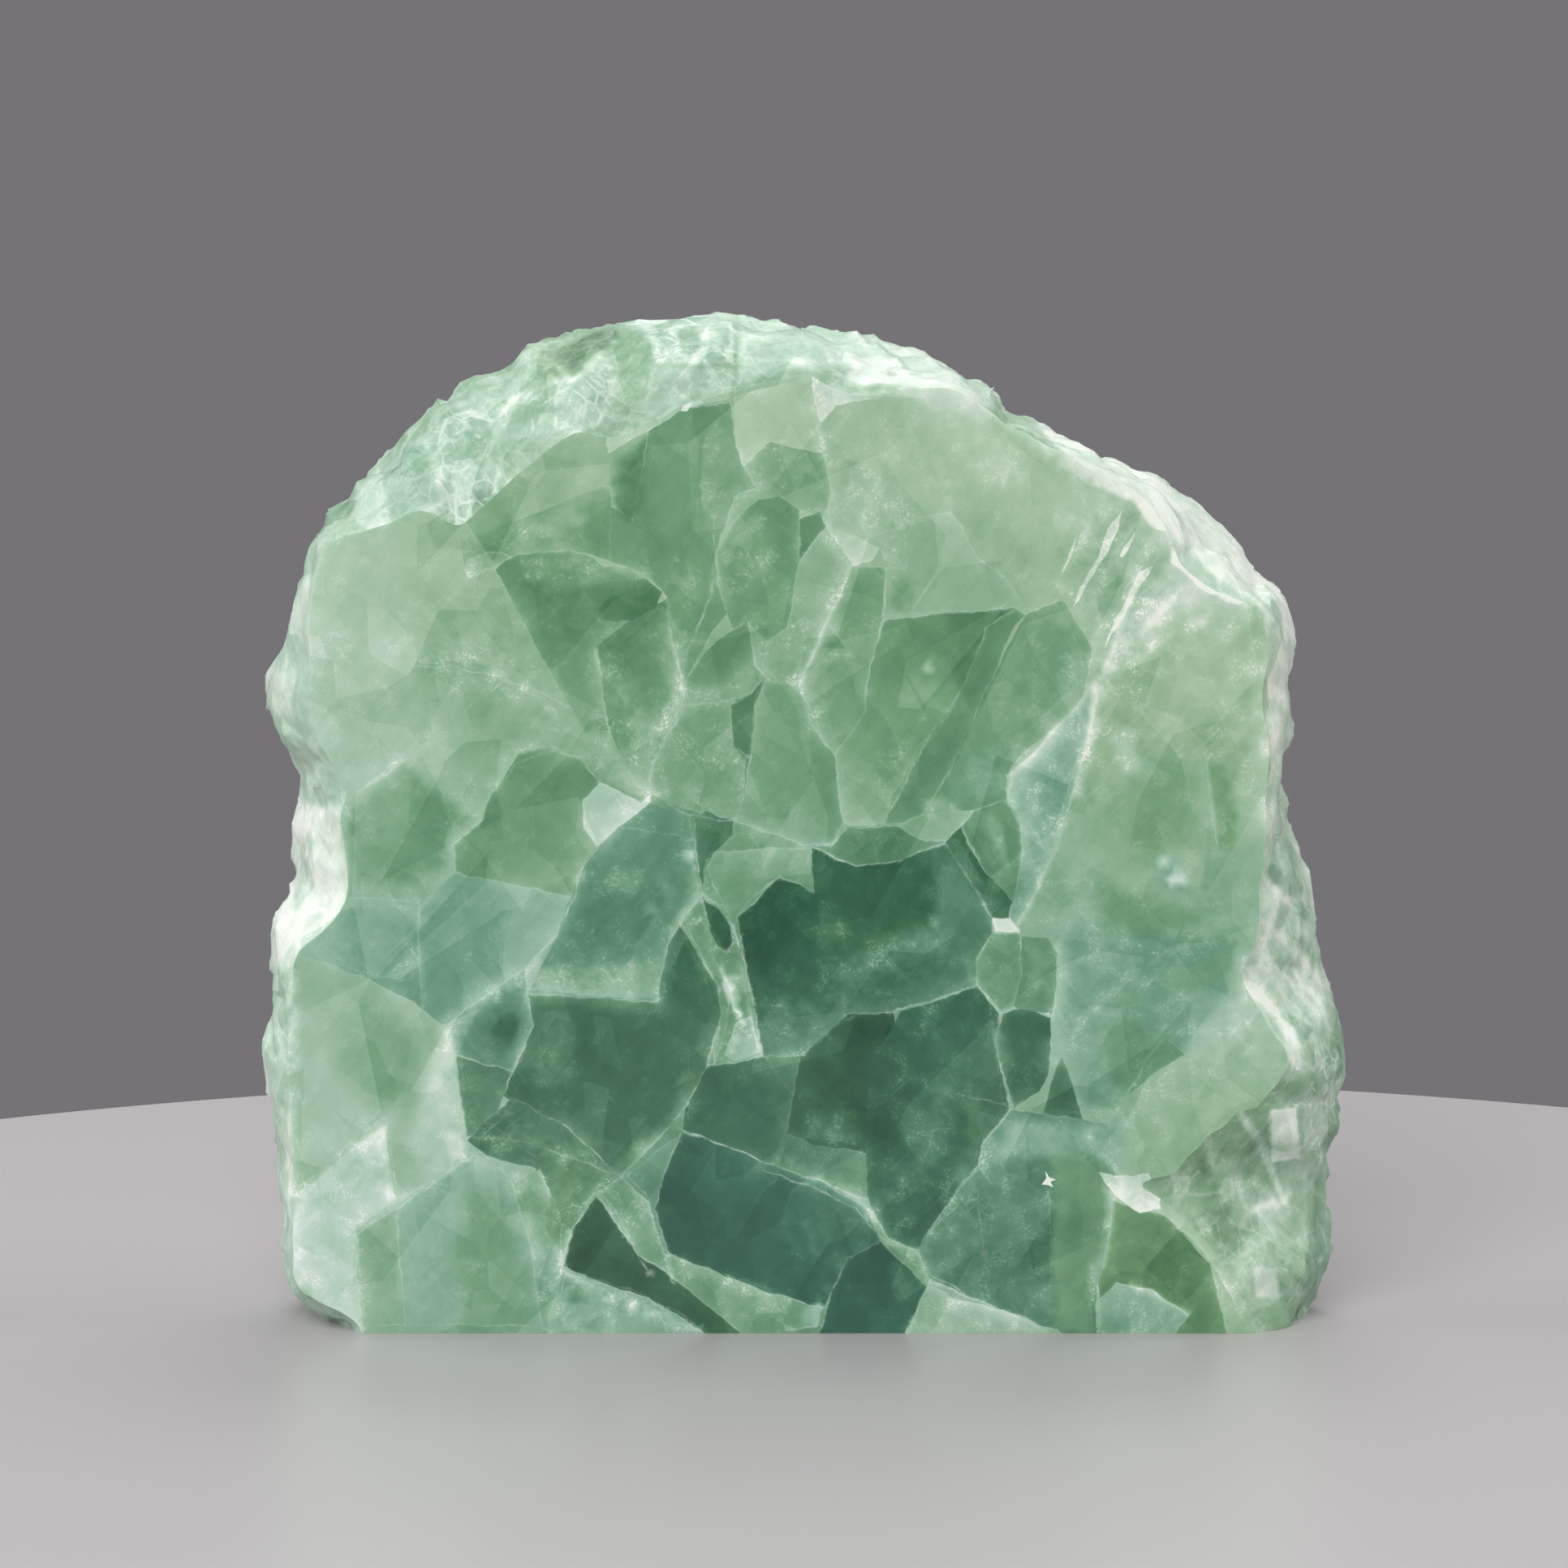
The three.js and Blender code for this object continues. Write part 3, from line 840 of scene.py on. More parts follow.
# %% Grains of the lower middle
grain(
    "deep_lower", 0.12,
    "990,1300 1045,1250 1100,1247 1110,1290 1070,1400 1070,1420 1000,1410 968,1395 978,1350 985,1300",
    drift=(-0.02, 0.02), cloud=0.6,
)
grain(
    "lower_dust", 0.27,
    "980,1365 1050,1365 1075,1398 1060,1415 985,1408",
    soft=1.4, cloud=1.3, sparkle=0.8,
)
grain("deep_gap", 0.30, "942,1302 990,1300 985,1300 978,1350 968,1395 950,1340", seam=0.3)
grain(
    "low_mid_left", 0.25,
    "870,1315 915,1308 942,1302 978,1350 968,1395 950,1435 890,1410 840,1390 848,1360",
    drift=(0.05, 0.0), warmth=-0.2, cloud=0.5,
)
grain(
    "mist_column", 0.23,
    "1180,1225 1203,1215 1230,1250 1225,1280 1245,1365 1210,1410 1205,1435 1170,1480 1130,1540 "
    "1095,1525 1070,1480 1065,1400 1080,1300 1110,1247",
    warmth=-0.3, cloud=1.0, drift=(-0.02, 0.02), rim=0.0, seam=0.0,
)
grain(
    "mist_blend", 0.165,
    "1050,1290 1115,1262 1130,1340 1125,1430 1070,1450 1045,1380",
    soft=2.0, warmth=-0.2, cloud=0.8,
)
grain(
    "mist_dark_side", 0.26,
    "1210,1290 1225,1285 1240,1345 1243,1367 1208,1410 1180,1440 1190,1360",
    cloud=0.4, soft=0.6,
)
grain(
    "teal_well", 0.20,
    "840,1395 890,1410 950,1435 1010,1455 1070,1490 1085,1530 1045,1550 1015,1612 940,1590 825,1545 "
    "808,1490 815,1455",
    warmth=-0.7, cloud=0.3, drift=(0.05, 0.03), rim=0.05, seam=0.6,
)
grain(
    "well_right", 0.24,
    "1000,1460 1070,1490 1085,1530 1045,1550 1015,1612 990,1600 1010,1530",
    warmth=-0.6, cloud=0.6, soft=1.4,
)
grain("well_left_band", 0.42, "840,1395 800,1425 775,1450 800,1480 815,1455", warmth=-0.3)
grain("well_lip", 0.47, "825,1545 940,1590 1015,1612 1005,1635 915,1643 830,1575", cloud=0.8, seam=0.7)
grain(
    "dark_foot", 0.14,
    "695,1560 705,1515 735,1475 790,1545 830,1575 915,1643 870,1643 800,1600 740,1580",
    cloud=0.4, drift=(0.10, 0.0), warmth=0.5, seam=0.6,
)
grain(
    "rough_ribbon", 0.47,
    "735,1472 765,1450 800,1480 808,1510 830,1575 785,1545",
    warmth=0.1, cloud=1.2, sparkle=0.9, rim=0.14, seam=0.8,
)
grain(
    "foot_pale", 0.54,
    "695,1567 800,1600 870,1643 850,1652 660,1652 670,1643 690,1600",
    warmth=-0.3, cloud=1.2, sparkle=0.7, seam=0.9,
)
grain(
    "dark_hexagon", 0.18,
    "1045,1550 1085,1530 1143,1585 1120,1632 1108,1652 1010,1652 1025,1590",
    warmth=-0.6, drift=(0.05, 0.0), seam=0.6,
)
grain("hexagon_side", 0.40, "1085,1530 1130,1540 1143,1585", seam=0.7)
grain(
    "lower_right_field", 0.34,
    "1130,1540 1170,1480 1205,1435 1210,1410 1245,1367 1335,1380 1365,1385 1375,1450 1370,1480 "
    "1365,1540 1352,1580 1350,1652 1290,1635 1200,1600 1145,1575",
    drift=(0.0, 0.08), warmth=-0.2, cloud=0.9, sparkle=0.4, seam=0.3,
)
grain(
    "field_right", 0.43,
    "1290,1400 1335,1380 1365,1385 1375,1450 1370,1480 1365,1540 1352,1580 1350,1652 1300,1638 "
    "1292,1560 1296,1480",
    warmth=0.3, cloud=0.4, drift=(0.0, 0.05), soft=0.7,
)
grain(
    "field_top", 0.55,
    "1245,1367 1335,1380 1375,1390 1360,1440 1300,1430 1240,1440 1208,1425",
    soft=1.6, warmth=-0.3, cloud=0.9,
)
grain(
    "pale_wedge", 0.59,
    "1145,1578 1200,1600 1290,1635 1290,1652 1110,1652 1125,1625",
    cloud=1.0, sparkle=0.5, seam=0.9,
)
grain(
    "grey_corner", 0.55,
    "1335,1380 1365,1380 1395,1345 1390,1440 1380,1450 1350,1420",
    cloud=1.0, warmth=-0.2, soft=0.6,
)
grain(
    "olive_polygon", 0.34,
    "1370,1480 1440,1500 1490,1558 1515,1652 1365,1652 1352,1580 1365,1540",
    warmth=0.85, cloud=0.5, drift=(0.02, 0.0), seam=0.6,
)
grain(
    "pale_triangle", 0.55,
    "1375,1580 1420,1590 1465,1620 1445,1645 1400,1652 1355,1652 1355,1600",
    warmth=-0.2, cloud=1.0, sparkle=0.6, seam=0.8,
)
grain(
    "white_tip", 0.80,
    "1353,1443 1375,1448 1395,1450 1415,1445 1425,1465 1430,1490 1405,1495 1390,1485 1375,1475 1365,1462",
    cloud=1.8, sparkle=1.0, seam=0.2,
)
grain(
    "star_fleck", 0.93,
    "1283,1459 1288,1452 1288,1443 1292,1450 1301,1452 1294,1456 1297,1463 1290,1459",
    seam=0.0,
)
print("grains so far", len(GRAINS))

# %% Grains of the lower left
grain(
    "mint_plate", 0.66,
    "367,1175 450,1205 510,1235 548,1268 560,1300 575,1430 490,1480 440,1520 440,1560 448,1652 "
    "400,1615 360,1585 352,1500 345,1400 335,1230",
    drift=(-0.02, -0.03), cloud=0.35, seam=0.4,
)
grain(
    "mint_shade", 0.54,
    "440,1215 500,1240 545,1285 525,1360 460,1390 400,1330 390,1240",
    soft=3.0, cloud=0.4,
)
grain("mint_edge", 0.76, "535,1285 552,1268 562,1300 575,1428 520,1465 500,1400", soft=1.1, cloud=0.6)
grain(
    "mint_fold", 0.83,
    "362,1472 440,1405 478,1380 490,1480 440,1518 440,1600 448,1652 400,1615 360,1585 352,1520",
    warmth=-0.5, cloud=0.9, soft=0.6,
)
grain("sliver_one", 0.34, "562,1302 632,1320 612,1370 580,1400 575,1400", seam=0.6)
grain(
    "shadow_patch", 0.29,
    "575,1405 615,1365 632,1352 700,1390 765,1450 730,1470 705,1515 680,1500 660,1440 600,1425",
    cloud=0.9, drift=(0.03, 0.0), seam=0.5,
)
grain(
    "meadow_low", 0.55,
    "440,1520 490,1490 575,1430 620,1440 632,1460 655,1540 670,1652 448,1652 440,1560",
    warmth=-0.3, cloud=0.5, drift=(0.0, 0.03), seam=0.7,
)
grain("meadow_pane", 0.55, "440,1520 488,1490 497,1600 500,1652 448,1652", cloud=0.4, seam=0.7)
grain("meadow_dark", 0.47, "570,1450 625,1450 650,1560 640,1640 560,1640 550,1540", soft=2.0, cloud=0.5)
grain("pillar", 0.46, "632,1460 665,1440 690,1500 695,1570 670,1652 655,1540", cloud=0.8, rim=0.1, seam=0.6)
print("grains in all", len(GRAINS))

# %% Small panes, flakes, dust patches and painted glints
grain(
    "umbrella_dust", 0.50,
    "618,692 660,682 730,692 770,706 740,722 700,730 650,720",
    soft=0.8, sparkle=0.9, cloud=1.5,
)
grain(
    "shoulder_dust", 0.62,
    "500,790 560,780 640,830 700,868 680,884 600,860 520,850",
    soft=1.6, sparkle=0.8, cloud=1.6,
)
grain("umbrella_tip", 0.47, "765,880 790,868 832,880 822,912 803,960 780,930", soft=1.1, cloud=1.2)
grain(
    "pane_light", 0.49,
    "800,545 840,520 870,530 860,640 830,700 800,660",
    soft=2.4, cloud=0.3, warmth=0.1,
)
# The next three are painted glints along the top strip.
grain("strip_glint", 0.96, "840,506 850,488 864,468 870,470 860,490 848,508", seam=0.0)
grain("strip_glint_two", 0.88, "862,472 874,462 888,458 880,470 868,480", seam=0.0)
grain("strip_glint_three", 0.84, "852,498 862,486 876,478 870,490 858,502", seam=0.0, warmth=-0.5)
grain("slab_step", 0.54, "600,655 640,640 700,618 735,640 690,660 640,672", soft=0.8, cloud=0.8, warmth=0.2)
grain(
    "hood_pane", 0.47,
    "905,655 935,628 960,640 955,700 925,745 905,720",
    soft=0.7, cloud=0.9, sparkle=0.9,
)
grain(
    "block_sheen", 0.66,
    "1060,600 1085,600 1100,640 1095,680 1065,670 1050,650",
    soft=1.0, cloud=1.4, sparkle=0.6,
)
grain(
    "pale_yellow", 0.75,
    "1140,480 1240,500 1300,560 1290,620 1200,610 1150,560",
    soft=3.0, cloud=0.8, warmth=0.5,
)
grain(
    "teal_glow", 0.44,
    "1290,760 1335,765 1345,810 1330,850 1290,880 1270,830",
    soft=2.0, cloud=0.5, warmth=-0.1,
)
grain("sail_fold", 0.45, "1262,760 1300,745 1296,800 1268,870 1240,900 1236,850", soft=0.9, cloud=0.7)
grain("sail_foot", 0.46, "1190,920 1240,910 1240,980 1200,996 1150,1000", soft=1.2, cloud=0.7, warmth=-0.2)
grain("plate_blade", 0.52, "1205,1000 1232,992 1240,1030 1246,1080 1226,1050", soft=0.4, cloud=0.9)
grain("tab_streak", 0.45, "1262,1160 1285,1160 1290,1200 1270,1238 1262,1200", soft=0.6, cloud=0.8)
grain("boot_heart", 0.22, "598,1262 628,1242 646,1250 648,1268 628,1298 604,1292", soft=0.9, cloud=0.7)
grain("shadow_window", 0.28, "668,1410 700,1405 706,1440 694,1480 676,1465", soft=0.5, cloud=0.6)
grain("meadow_step", 0.50, "560,1545 640,1548 660,1640 560,1640", soft=0.6, cloud=0.5)
grain(
    "well_shade", 0.15,
    "850,1430 930,1450 960,1500 930,1560 850,1535 825,1490",
    soft=2.4, warmth=-0.6, cloud=0.2,
)
grain(
    "hexagon_light", 0.30,
    "1085,1540 1110,1552 1135,1588 1118,1620 1100,1600",
    soft=0.8, warmth=-0.3, cloud=0.9,
)
grain("meadow_edge", 0.50, "1487,940 1520,950 1530,1040 1500,1052", warmth=0.6, cloud=0.6, soft=0.5)
grain(
    "eye_low", 0.51,
    "1345,1060 1400,1090 1470,1110 1480,1140 1430,1165 1370,1160 1340,1120",
    soft=1.8, warmth=0.3, cloud=0.7,
)
grain(
    "lens_glow", 0.54,
    "1385,1000 1430,985 1470,1010 1470,1050 1420,1065 1385,1045",
    soft=2.0, warmth=0.6, cloud=0.5,
)
grain(
    "eye_haze", 0.60,
    "1420,1050 1450,1045 1480,1075 1470,1110 1430,1115 1405,1085",
    soft=1.6, warmth=-0.4, cloud=0.9,
)
# Painted glint: the bright core of the eye's highlight.
grain(
    "eye_glint_core", 0.90,
    "1438,1080 1447,1071 1456,1078 1452,1092 1440,1097",
    soft=0.45, warmth=-0.9, sparkle=1.0,
)
grain("black_speck", 0.0, "844,1366 847,1364 849,1367 847,1370 844,1369", seam=0.0)
grain(
    "umbrella_spike", 0.57,
    "572,700 576,714 600,702 632,686 620,680 600,681 575,690",
    cloud=1.2, sparkle=0.5, seam=0.4,
)
grain(
    "top_triangle", 0.80,
    "1000,482 1010,520 1030,500 1085,490 1095,470 1100,440 1060,430 1000,445",
    cloud=1.1, sparkle=0.4,
)
grain("pond_corner", 0.52, "1100,705 1125,705 1125,740 1105,760 1092,740", soft=0.5)
grain(
    "drape_speckle", 0.54,
    "1130,985 1165,975 1190,1000 1170,1020 1135,1015",
    soft=0.7, sparkle=1.0, cloud=1.2,
)
grain("mint_bright", 0.82, "540,1390 572,1392 576,1428 548,1432", soft=0.8)
grain("pillar_pane", 0.53, "668,1540 690,1540 691,1600 668,1602", warmth=-0.6, soft=0.5)
grain("pillar_dark", 0.36, "678,1432 720,1430 706,1500 695,1550 682,1530 675,1480", warmth=0.5, soft=0.4)
grain("foot_dark", 0.38, "695,1578 725,1582 722,1606 700,1610", soft=0.5)
grain("bay_bright", 0.72, "846,1045 859,1045 860,1061 848,1062", soft=0.35, sparkle=1.0)
grain("lip_blue", 0.60, "985,1612 1015,1600 1012,1636 984,1636", warmth=-0.7, soft=0.5)
grain(
    "ground_fan", 0.64,
    "1515,1150 1545,1160 1560,1230 1590,1290 1560,1340 1480,1330 1520,1230",
    soft=1.2, cloud=1.0, warmth=0.2,
)
grain("dark_leaf", 0.42, "1470,1200 1500,1170 1520,1185 1505,1200", soft=0.4)
# The next three are painted glints in the eye.
grain("eye_glint", 0.97, "1449,1068 1455,1072 1458,1080 1454,1090 1449,1082", soft=0.25, warmth=-0.6)
grain("eye_glint_two", 0.84, "1431,1056 1440,1060 1437,1079 1429,1073", soft=0.3, warmth=-0.5)
grain("eye_glint_three", 0.88, "1436,1099 1446,1098 1442,1108", soft=0.25)
print("grains with details", len(GRAINS))

# %% Milky veils, painted glints and a line of painted shade
veil("flag_streak", 0.13, 0.9, "800,975 770,930 745,885")
veil("flag_streak_two", 0.11, 0.8, "800,975 790,910 778,850")
veil("flag_glow", 0.11, 1.4, "800,985 760,1020 738,1042 716,1080")
veil("umbrella_glow", 0.10, 0.7, "700,677 745,697 800,712 825,745 837,812 842,860")
veil("wing_glow", 0.11, 0.8, "848,866 868,858 905,842 930,822")
veil("node_glow", 0.10, 1.6, "845,700 842,780 838,850 806,940")
veil("crown_glow", 0.10, 0.8, "850,1005 905,1012 990,1040 1025,1042 1045,1020 1105,1018")
veil("blade_glow", 0.10, 0.7, "1018,648 1035,690 1020,760 988,842")
veil("blade_glow_two", 0.10, 0.7, "1052,697 1030,745 1002,805 988,846 1000,895 1028,930 1036,985")
veil("fan_glow", 0.06, 1.4, "1242,960 1262,905 1340,832 1432,750 1487,733")
veil("fan_inner", 0.08, 0.8, "1351,858 1331,904 1308,974 1290,1050 1262,1130")
veil("fan_stripe", 0.10, 0.6, "1280,945 1268,1000 1262,1080")
veil("shard_haze", 0.06, 2.4, "1310,740 1350,680 1385,620")
veil("shard_haze_two", 0.06, 2.2, "1360,800 1400,720 1430,670")
veil("top_crack", 0.08, 0.7, "981,438 1012,539 1028,617")
veil("right_haze", 0.04, 2.2, "1380,820 1440,790 1500,770")
veil("flank_edge", 0.10, 1.0, "1553,749 1557,900 1560,1010")
veil("plate_edge", 0.06, 0.9, "548,1268 560,1300 575,1428 490,1480")
veil("plate_rim", 0.06, 1.8, "352,1240 350,1400 355,1560")
veil("fold_glow", 0.03, 1.0, "366,1470 430,1415 479,1373")
veil("fold_edge", 0.08, 0.7, "440,1517 442,1570 446,1640")
veil("bay_glow", 0.11, 0.8, "656,1222 740,1230 812,1234")
veil("bay_side", 0.11, 0.7, "844,1039 862,1100 838,1138 822,1165 812,1232")
veil("boot_glow", 0.13, 0.8, "556,1268 585,1238 645,1197")
veil("foot_glow", 0.10, 0.9, "848,1360 810,1405 765,1450 730,1472 705,1520 692,1590")
veil("pillar_streak", 0.11, 0.6, "640,1450 655,1520 670,1600")
veil("pillar_streak_two", 0.10, 0.5, "668,1445 684,1500 692,1560")
veil("shadow_line", 0.11, 0.5, "576,1400 673,1412 724,1435 765,1450")
veil("shadow_line_two", 0.08, 0.5, "615,1365 650,1400 700,1430")
veil("ribbon_glow", 0.16, 0.9, "935,1432 1010,1455 1070,1482 1095,1525 1130,1542 1150,1580")
veil("ribbon_flare", 0.14, 0.8, "1040,1470 1090,1500 1120,1530")
veil("stone_glow", 0.10, 0.7, "1203,1215 1235,1250 1228,1285 1245,1365 1208,1412 1170,1480 1130,1540")
veil("dust_row", 0.08, 0.7, "1292,1467 1294,1540 1290,1614")
veil("olive_glow", 0.11, 0.7, "1372,1470 1365,1540 1345,1580")
veil("tip_glow", 0.11, 1.0, "1375,1470 1430,1495 1485,1545 1510,1620")
veil("corner_glow", 0.08, 1.4, "1345,1385 1400,1350 1460,1305 1530,1230")
veil("oval_side", 0.13, 0.6, "1292,1250 1310,1210 1303,1170")
veil("ground_streak", 0.10, 1.0, "1300,1300 1360,1230 1420,1190 1500,1140")
veil("ground_streak_two", 0.06, 1.6, "1345,1140 1400,1180 1470,1250")
veil("deep_dust", 0.10, 1.8, "960,1240 1050,1200 1150,1170")
veil("deep_dust_two", 0.08, 1.2, "1010,1130 1070,1160 1140,1150")
veil("mist_streak", 0.11, 1.4, "1105,1265 1120,1360 1110,1460")
veil("mist_streak_two", 0.08, 1.0, "1150,1250 1165,1340 1150,1430")
veil("lower_dust_glow", 0.13, 1.2, "985,1400 1030,1398 1060,1412")
veil("lip_glow", 0.08, 0.9, "830,1548 900,1580 1000,1612")
veil("seam_broad", 0.18, 0.45, "1443,740 1400,790 1350,850 1300,895 1262,945")
veil(
    "fan_crack", 0.24, 0.35,
    "1400,710 1380,775 1358,837 1345,890 1332,942 1318,985 1305,1026 1280,1090 1253,1142",
)
veil("seam_branch", 0.14, 0.35, "1350,850 1345,900 1335,950 1325,980")
# Painted shade: a dark line where the flank folds in.
veil("flank_crease", -0.10, 0.5, "1555,870 1562,915 1570,960")
veil("block_streak", 0.12, 0.5, "1075,600 1110,650")
veil("blade_dash", 0.28, 0.25, "1025,808 1045,808")
veil("bay_dash", 0.30, 0.25, "795,1112 808,1125")
veil("bay_arc", 0.20, 0.25, "818,1075 822,1095 838,1113")
veil("shelf_streak", 0.16, 0.3, "935,1080 950,1050")
veil("window_line", 0.18, 0.3, "678,1430 725,1425")
veil("boot_mark", 0.20, 0.3, "565,1312 575,1318")
veil("sliver_mark", 0.20, 0.35, "609,1334 616,1346")
veil("ribbon_core", 0.20, 0.35, "960,1425 1000,1450 1040,1462 1075,1495 1100,1530 1130,1545")
veil("well_fibre", 0.08, 0.35, "965,1500 1000,1600")
veil("well_fibre_two", 0.08, 0.35, "985,1490 1020,1590")
veil("well_fibre_three", 0.07, 0.35, "1008,1482 1035,1560")
veil("corner_fan", 0.14, 0.3, "1335,1390 1360,1425 1385,1450")
veil("corner_fan_two", 0.12, 0.3, "1350,1385 1372,1410 1390,1440")
veil("olive_blue", 0.20, 0.45, "1368,1470 1368,1520 1362,1550 1350,1570 1348,1610")
veil("left_edge", 0.20, 0.4, "361,1200 361,1340 355,1400 360,1470")
# The next five are painted glints: thin bright lines of glitter.
veil("foot_spark", 0.34, 0.30, "700,1569 735,1589 795,1615 868,1641")
veil("triangle_spark", 0.30, 0.35, "1394,1583 1424,1595 1463,1619")
veil("vein_spark", 0.34, 0.25, "889,1195 899,1216 907,1240 915,1262")
veil("vein_spark_two", 0.28, 0.22, "908,1188 915,1215 926,1250 936,1292")
veil("vein_spark_three", 0.26, 0.22, "900,1296 912,1272 920,1256")
veil("comb_one", 0.12, 0.30, "1330,760 1365,700 1400,640 1425,600")
veil("comb_two", 0.12, 0.30, "1345,790 1385,730 1420,670 1450,620")
veil("comb_three", 0.12, 0.35, "1375,800 1410,745 1440,700 1470,660")
veil("comb_four", 0.10, 0.30, "1300,720 1330,670 1360,615")
veil("block_line", 0.12, 0.3, "1163,575 1170,630")
veil("block_line_two", 0.10, 0.3, "1185,545 1170,590")
print(len(VEILS), "veils")

# %% Milky banks, sharp on one side
bank("main_bank", 0.12, 1.6, "560,1262 585,1235 645,1195 685,1155 700,1110 712,1080")
bank("field_edge", 0.08, 1.6, "505,932 470,960 430,985")
bank("dome_bank", 0.10, 1.8, "690,920 640,930 600,990 590,1020 560,1040 560,1080")
bank(
    "curtain_bank", 0.08, 1.6,
    "822,737 823,760 830,790 837,812 841,840 845,870 830,895 815,915 803,940 800,965",
    seam=0.6,
)
bank("umbrella_inner", 0.08, 2.2, "755,910 745,850 730,800")
bank("umbrella_crown", 0.06, 1.4, "745,697 720,680 700,678 632,685 605,702")
bank("drape_bank", 0.08, 2.0, "1190,840 1170,880 1150,910 1120,945 1100,980 1090,1015")
bank("blade_bank", 0.08, 1.6, "1028,930 1015,915 995,870 983,845 1005,795 1020,760 1035,725 1050,700")
bank("fan_bank", 0.14, 1.8, "1262,1055 1255,1005 1240,985 1245,945 1262,925 1290,905 1325,870", seam=0.5)
bank("field_bank", 0.06, 3.0, "517,1100 518,1160 518,1220")
bank("fold_bank", 0.05, 2.2, "362,1470 440,1400 480,1370", seam=0.4)
bank("fold_side", 0.06, 1.6, "478,1373 476,1400 487,1480")
bank(
    "foot_bank", 0.18, 1.4,
    "830,1380 815,1400 780,1435 770,1445 735,1465 715,1495 703,1530 694,1565 685,1600 672,1635",
)
bank("bay_floor", 0.16, 3.0, "812,1232 740,1228 656,1220")
bank("lip_bank", 0.08, 1.6, "820,1545 870,1560 960,1590")
bank("shelf_bank", 0.08, 2.4, "998,1045 1000,1100 1007,1145")
bank("deep_bank", 0.10, 2.2, "1060,1250 1030,1265 1010,1285 985,1300 942,1302", seam=0.3)
bank(
    "stone_bank", 0.10, 2.6,
    "1125,1540 1140,1530 1165,1495 1185,1455 1205,1435 1212,1405 1243,1365",
    seam=0.5,
)
bank("wedge_bank", 0.26, 1.4, "1145,1585 1175,1600 1240,1615 1280,1635", seam=0.7)
bank("mist_bank", 0.06, 2.0, "1070,1400 1068,1365 1070,1330")
bank(
    "milk_bank", 0.10, 3.2,
    "1590,760 1550,745 1510,743 1480,725 1440,690 1450,660 1420,650 1395,620 1345,600",
)
bank("slab_bank", 0.07, 2.0, "645,665 640,650 625,630")
bank("pane_bank", 0.07, 2.0, "870,650 862,600 866,550 880,510")
bank("core_bank", 0.07, 2.0, "1222,1150 1205,1105 1170,1050")
bank("shoulder_bank", 0.08, 2.2, "700,905 660,860 600,830 560,815 500,820")
bank(
    "olive_bank", 0.20, 1.6,
    "1535,1632 1525,1620 1515,1595 1500,1570 1480,1540 1455,1515 1430,1495 1400,1478",
    seam=0.5,
)
bank("oval_bank", 0.10, 0.9, "1235,1340 1225,1290 1222,1262", seam=0.3)
print(len(VEILS), "veils and banks")

# %% Patches and streaks on the rough rind, with some painted light and shade
patch(
    "rim_green", 0.60,
    "400,670 440,600 545,490 640,435 770,395 905,380 905,480 800,540 700,610 600,690 440,700",
    warmth=0.3,
)
patch(
    "cluster_band", 0.55,
    "500,540 545,492 600,462 640,440 700,418 720,425 660,455 610,480 560,510 520,545",
    soft=0.5, warmth=0.3,
)
patch(
    "cluster_grey", 0.70,
    "520,545 545,515 580,500 612,515 590,550 575,595 552,612 543,610",
    soft=0.4, cloud=1.2, sparkle=0.6,
)
patch(
    "cluster_mass", 0.70,
    "560,560 597,575 600,540 612,515 625,490 640,482 680,470 705,465 727,450 740,435 752,440 762,468 "
    "757,495 738,527 720,532 690,575 655,605 640,620 600,640 560,662 548,655 552,612",
    soft=0.35, cloud=0.9, sparkle=0.7,
)
patch("cluster_hollow", 0.58, "625,500 640,492 662,497 668,505 645,535 620,535", soft=0.4, cloud=0.6)
patch(
    "cluster_gap", 0.57,
    "600,565 612,540 645,540 668,515 705,535 680,565 655,600 625,592",
    soft=0.35, cloud=0.8, warmth=0.3,
)
patch("cluster_bar", 0.80, "702,530 722,530 690,575 662,610 650,606 680,560", soft=0.3)
patch(
    "cluster_low", 0.54,
    "556,655 552,638 575,606 600,600 640,594 648,604 625,630 590,650",
    soft=0.35, cloud=1.6, sparkle=1.0,
)
patch("cluster_facet", 0.54, "465,578 500,540 520,545 543,610 525,625 500,648 478,648", soft=0.3, cloud=0.7)
patch("cluster_pale", 0.72, "430,635 437,612 460,580 470,620 476,648 455,658", soft=0.3, cloud=0.6)
patch(
    "olive_patch", 0.40,
    "655,445 665,430 720,410 760,403 765,415 728,445 710,465 670,470",
    soft=0.4, warmth=0.9, cloud=0.6,
)
patch("olive_deep", 0.30, "700,442 730,437 712,462 697,455", soft=0.4, warmth=0.5)
patch(
    "top_green", 0.58,
    "765,405 800,420 805,450 790,500 800,525 770,545 752,505 762,468 752,440",
    soft=0.4, warmth=0.5, cloud=0.6,
)
patch(
    "top_strip", 0.71,
    "800,450 905,452 905,490 840,508 800,532 788,505",
    soft=0.5, warmth=0.2, cloud=0.9, sparkle=0.4,
)
patch(
    "top_crystals", 0.74,
    "765,400 800,385 860,380 905,390 905,450 860,450 805,450 800,420",
    soft=0.4, cloud=1.4, sparkle=1.0, warmth=-0.1,
)
patch("crystal_gap", 0.54, "830,405 855,398 870,420 850,445 835,435", soft=0.4, cloud=1.0)
patch("crystal_gap_two", 0.60, "880,400 900,400 900,430 885,440", soft=0.4)
patch("top_grey", 0.75, "905,380 1000,375 1060,400 1060,450 960,460 905,480", soft=0.8, warmth=-0.1)
patch("top_block", 0.68, "925,395 985,388 1000,425 950,440 930,425", soft=0.3, cloud=1.1)
patch("top_milk", 0.80, "1040,395 1160,410 1230,460 1230,510 1120,480 1040,480", soft=0.8)
patch("top_notch", 0.74, "1180,430 1210,445 1200,470 1170,455", soft=0.3)
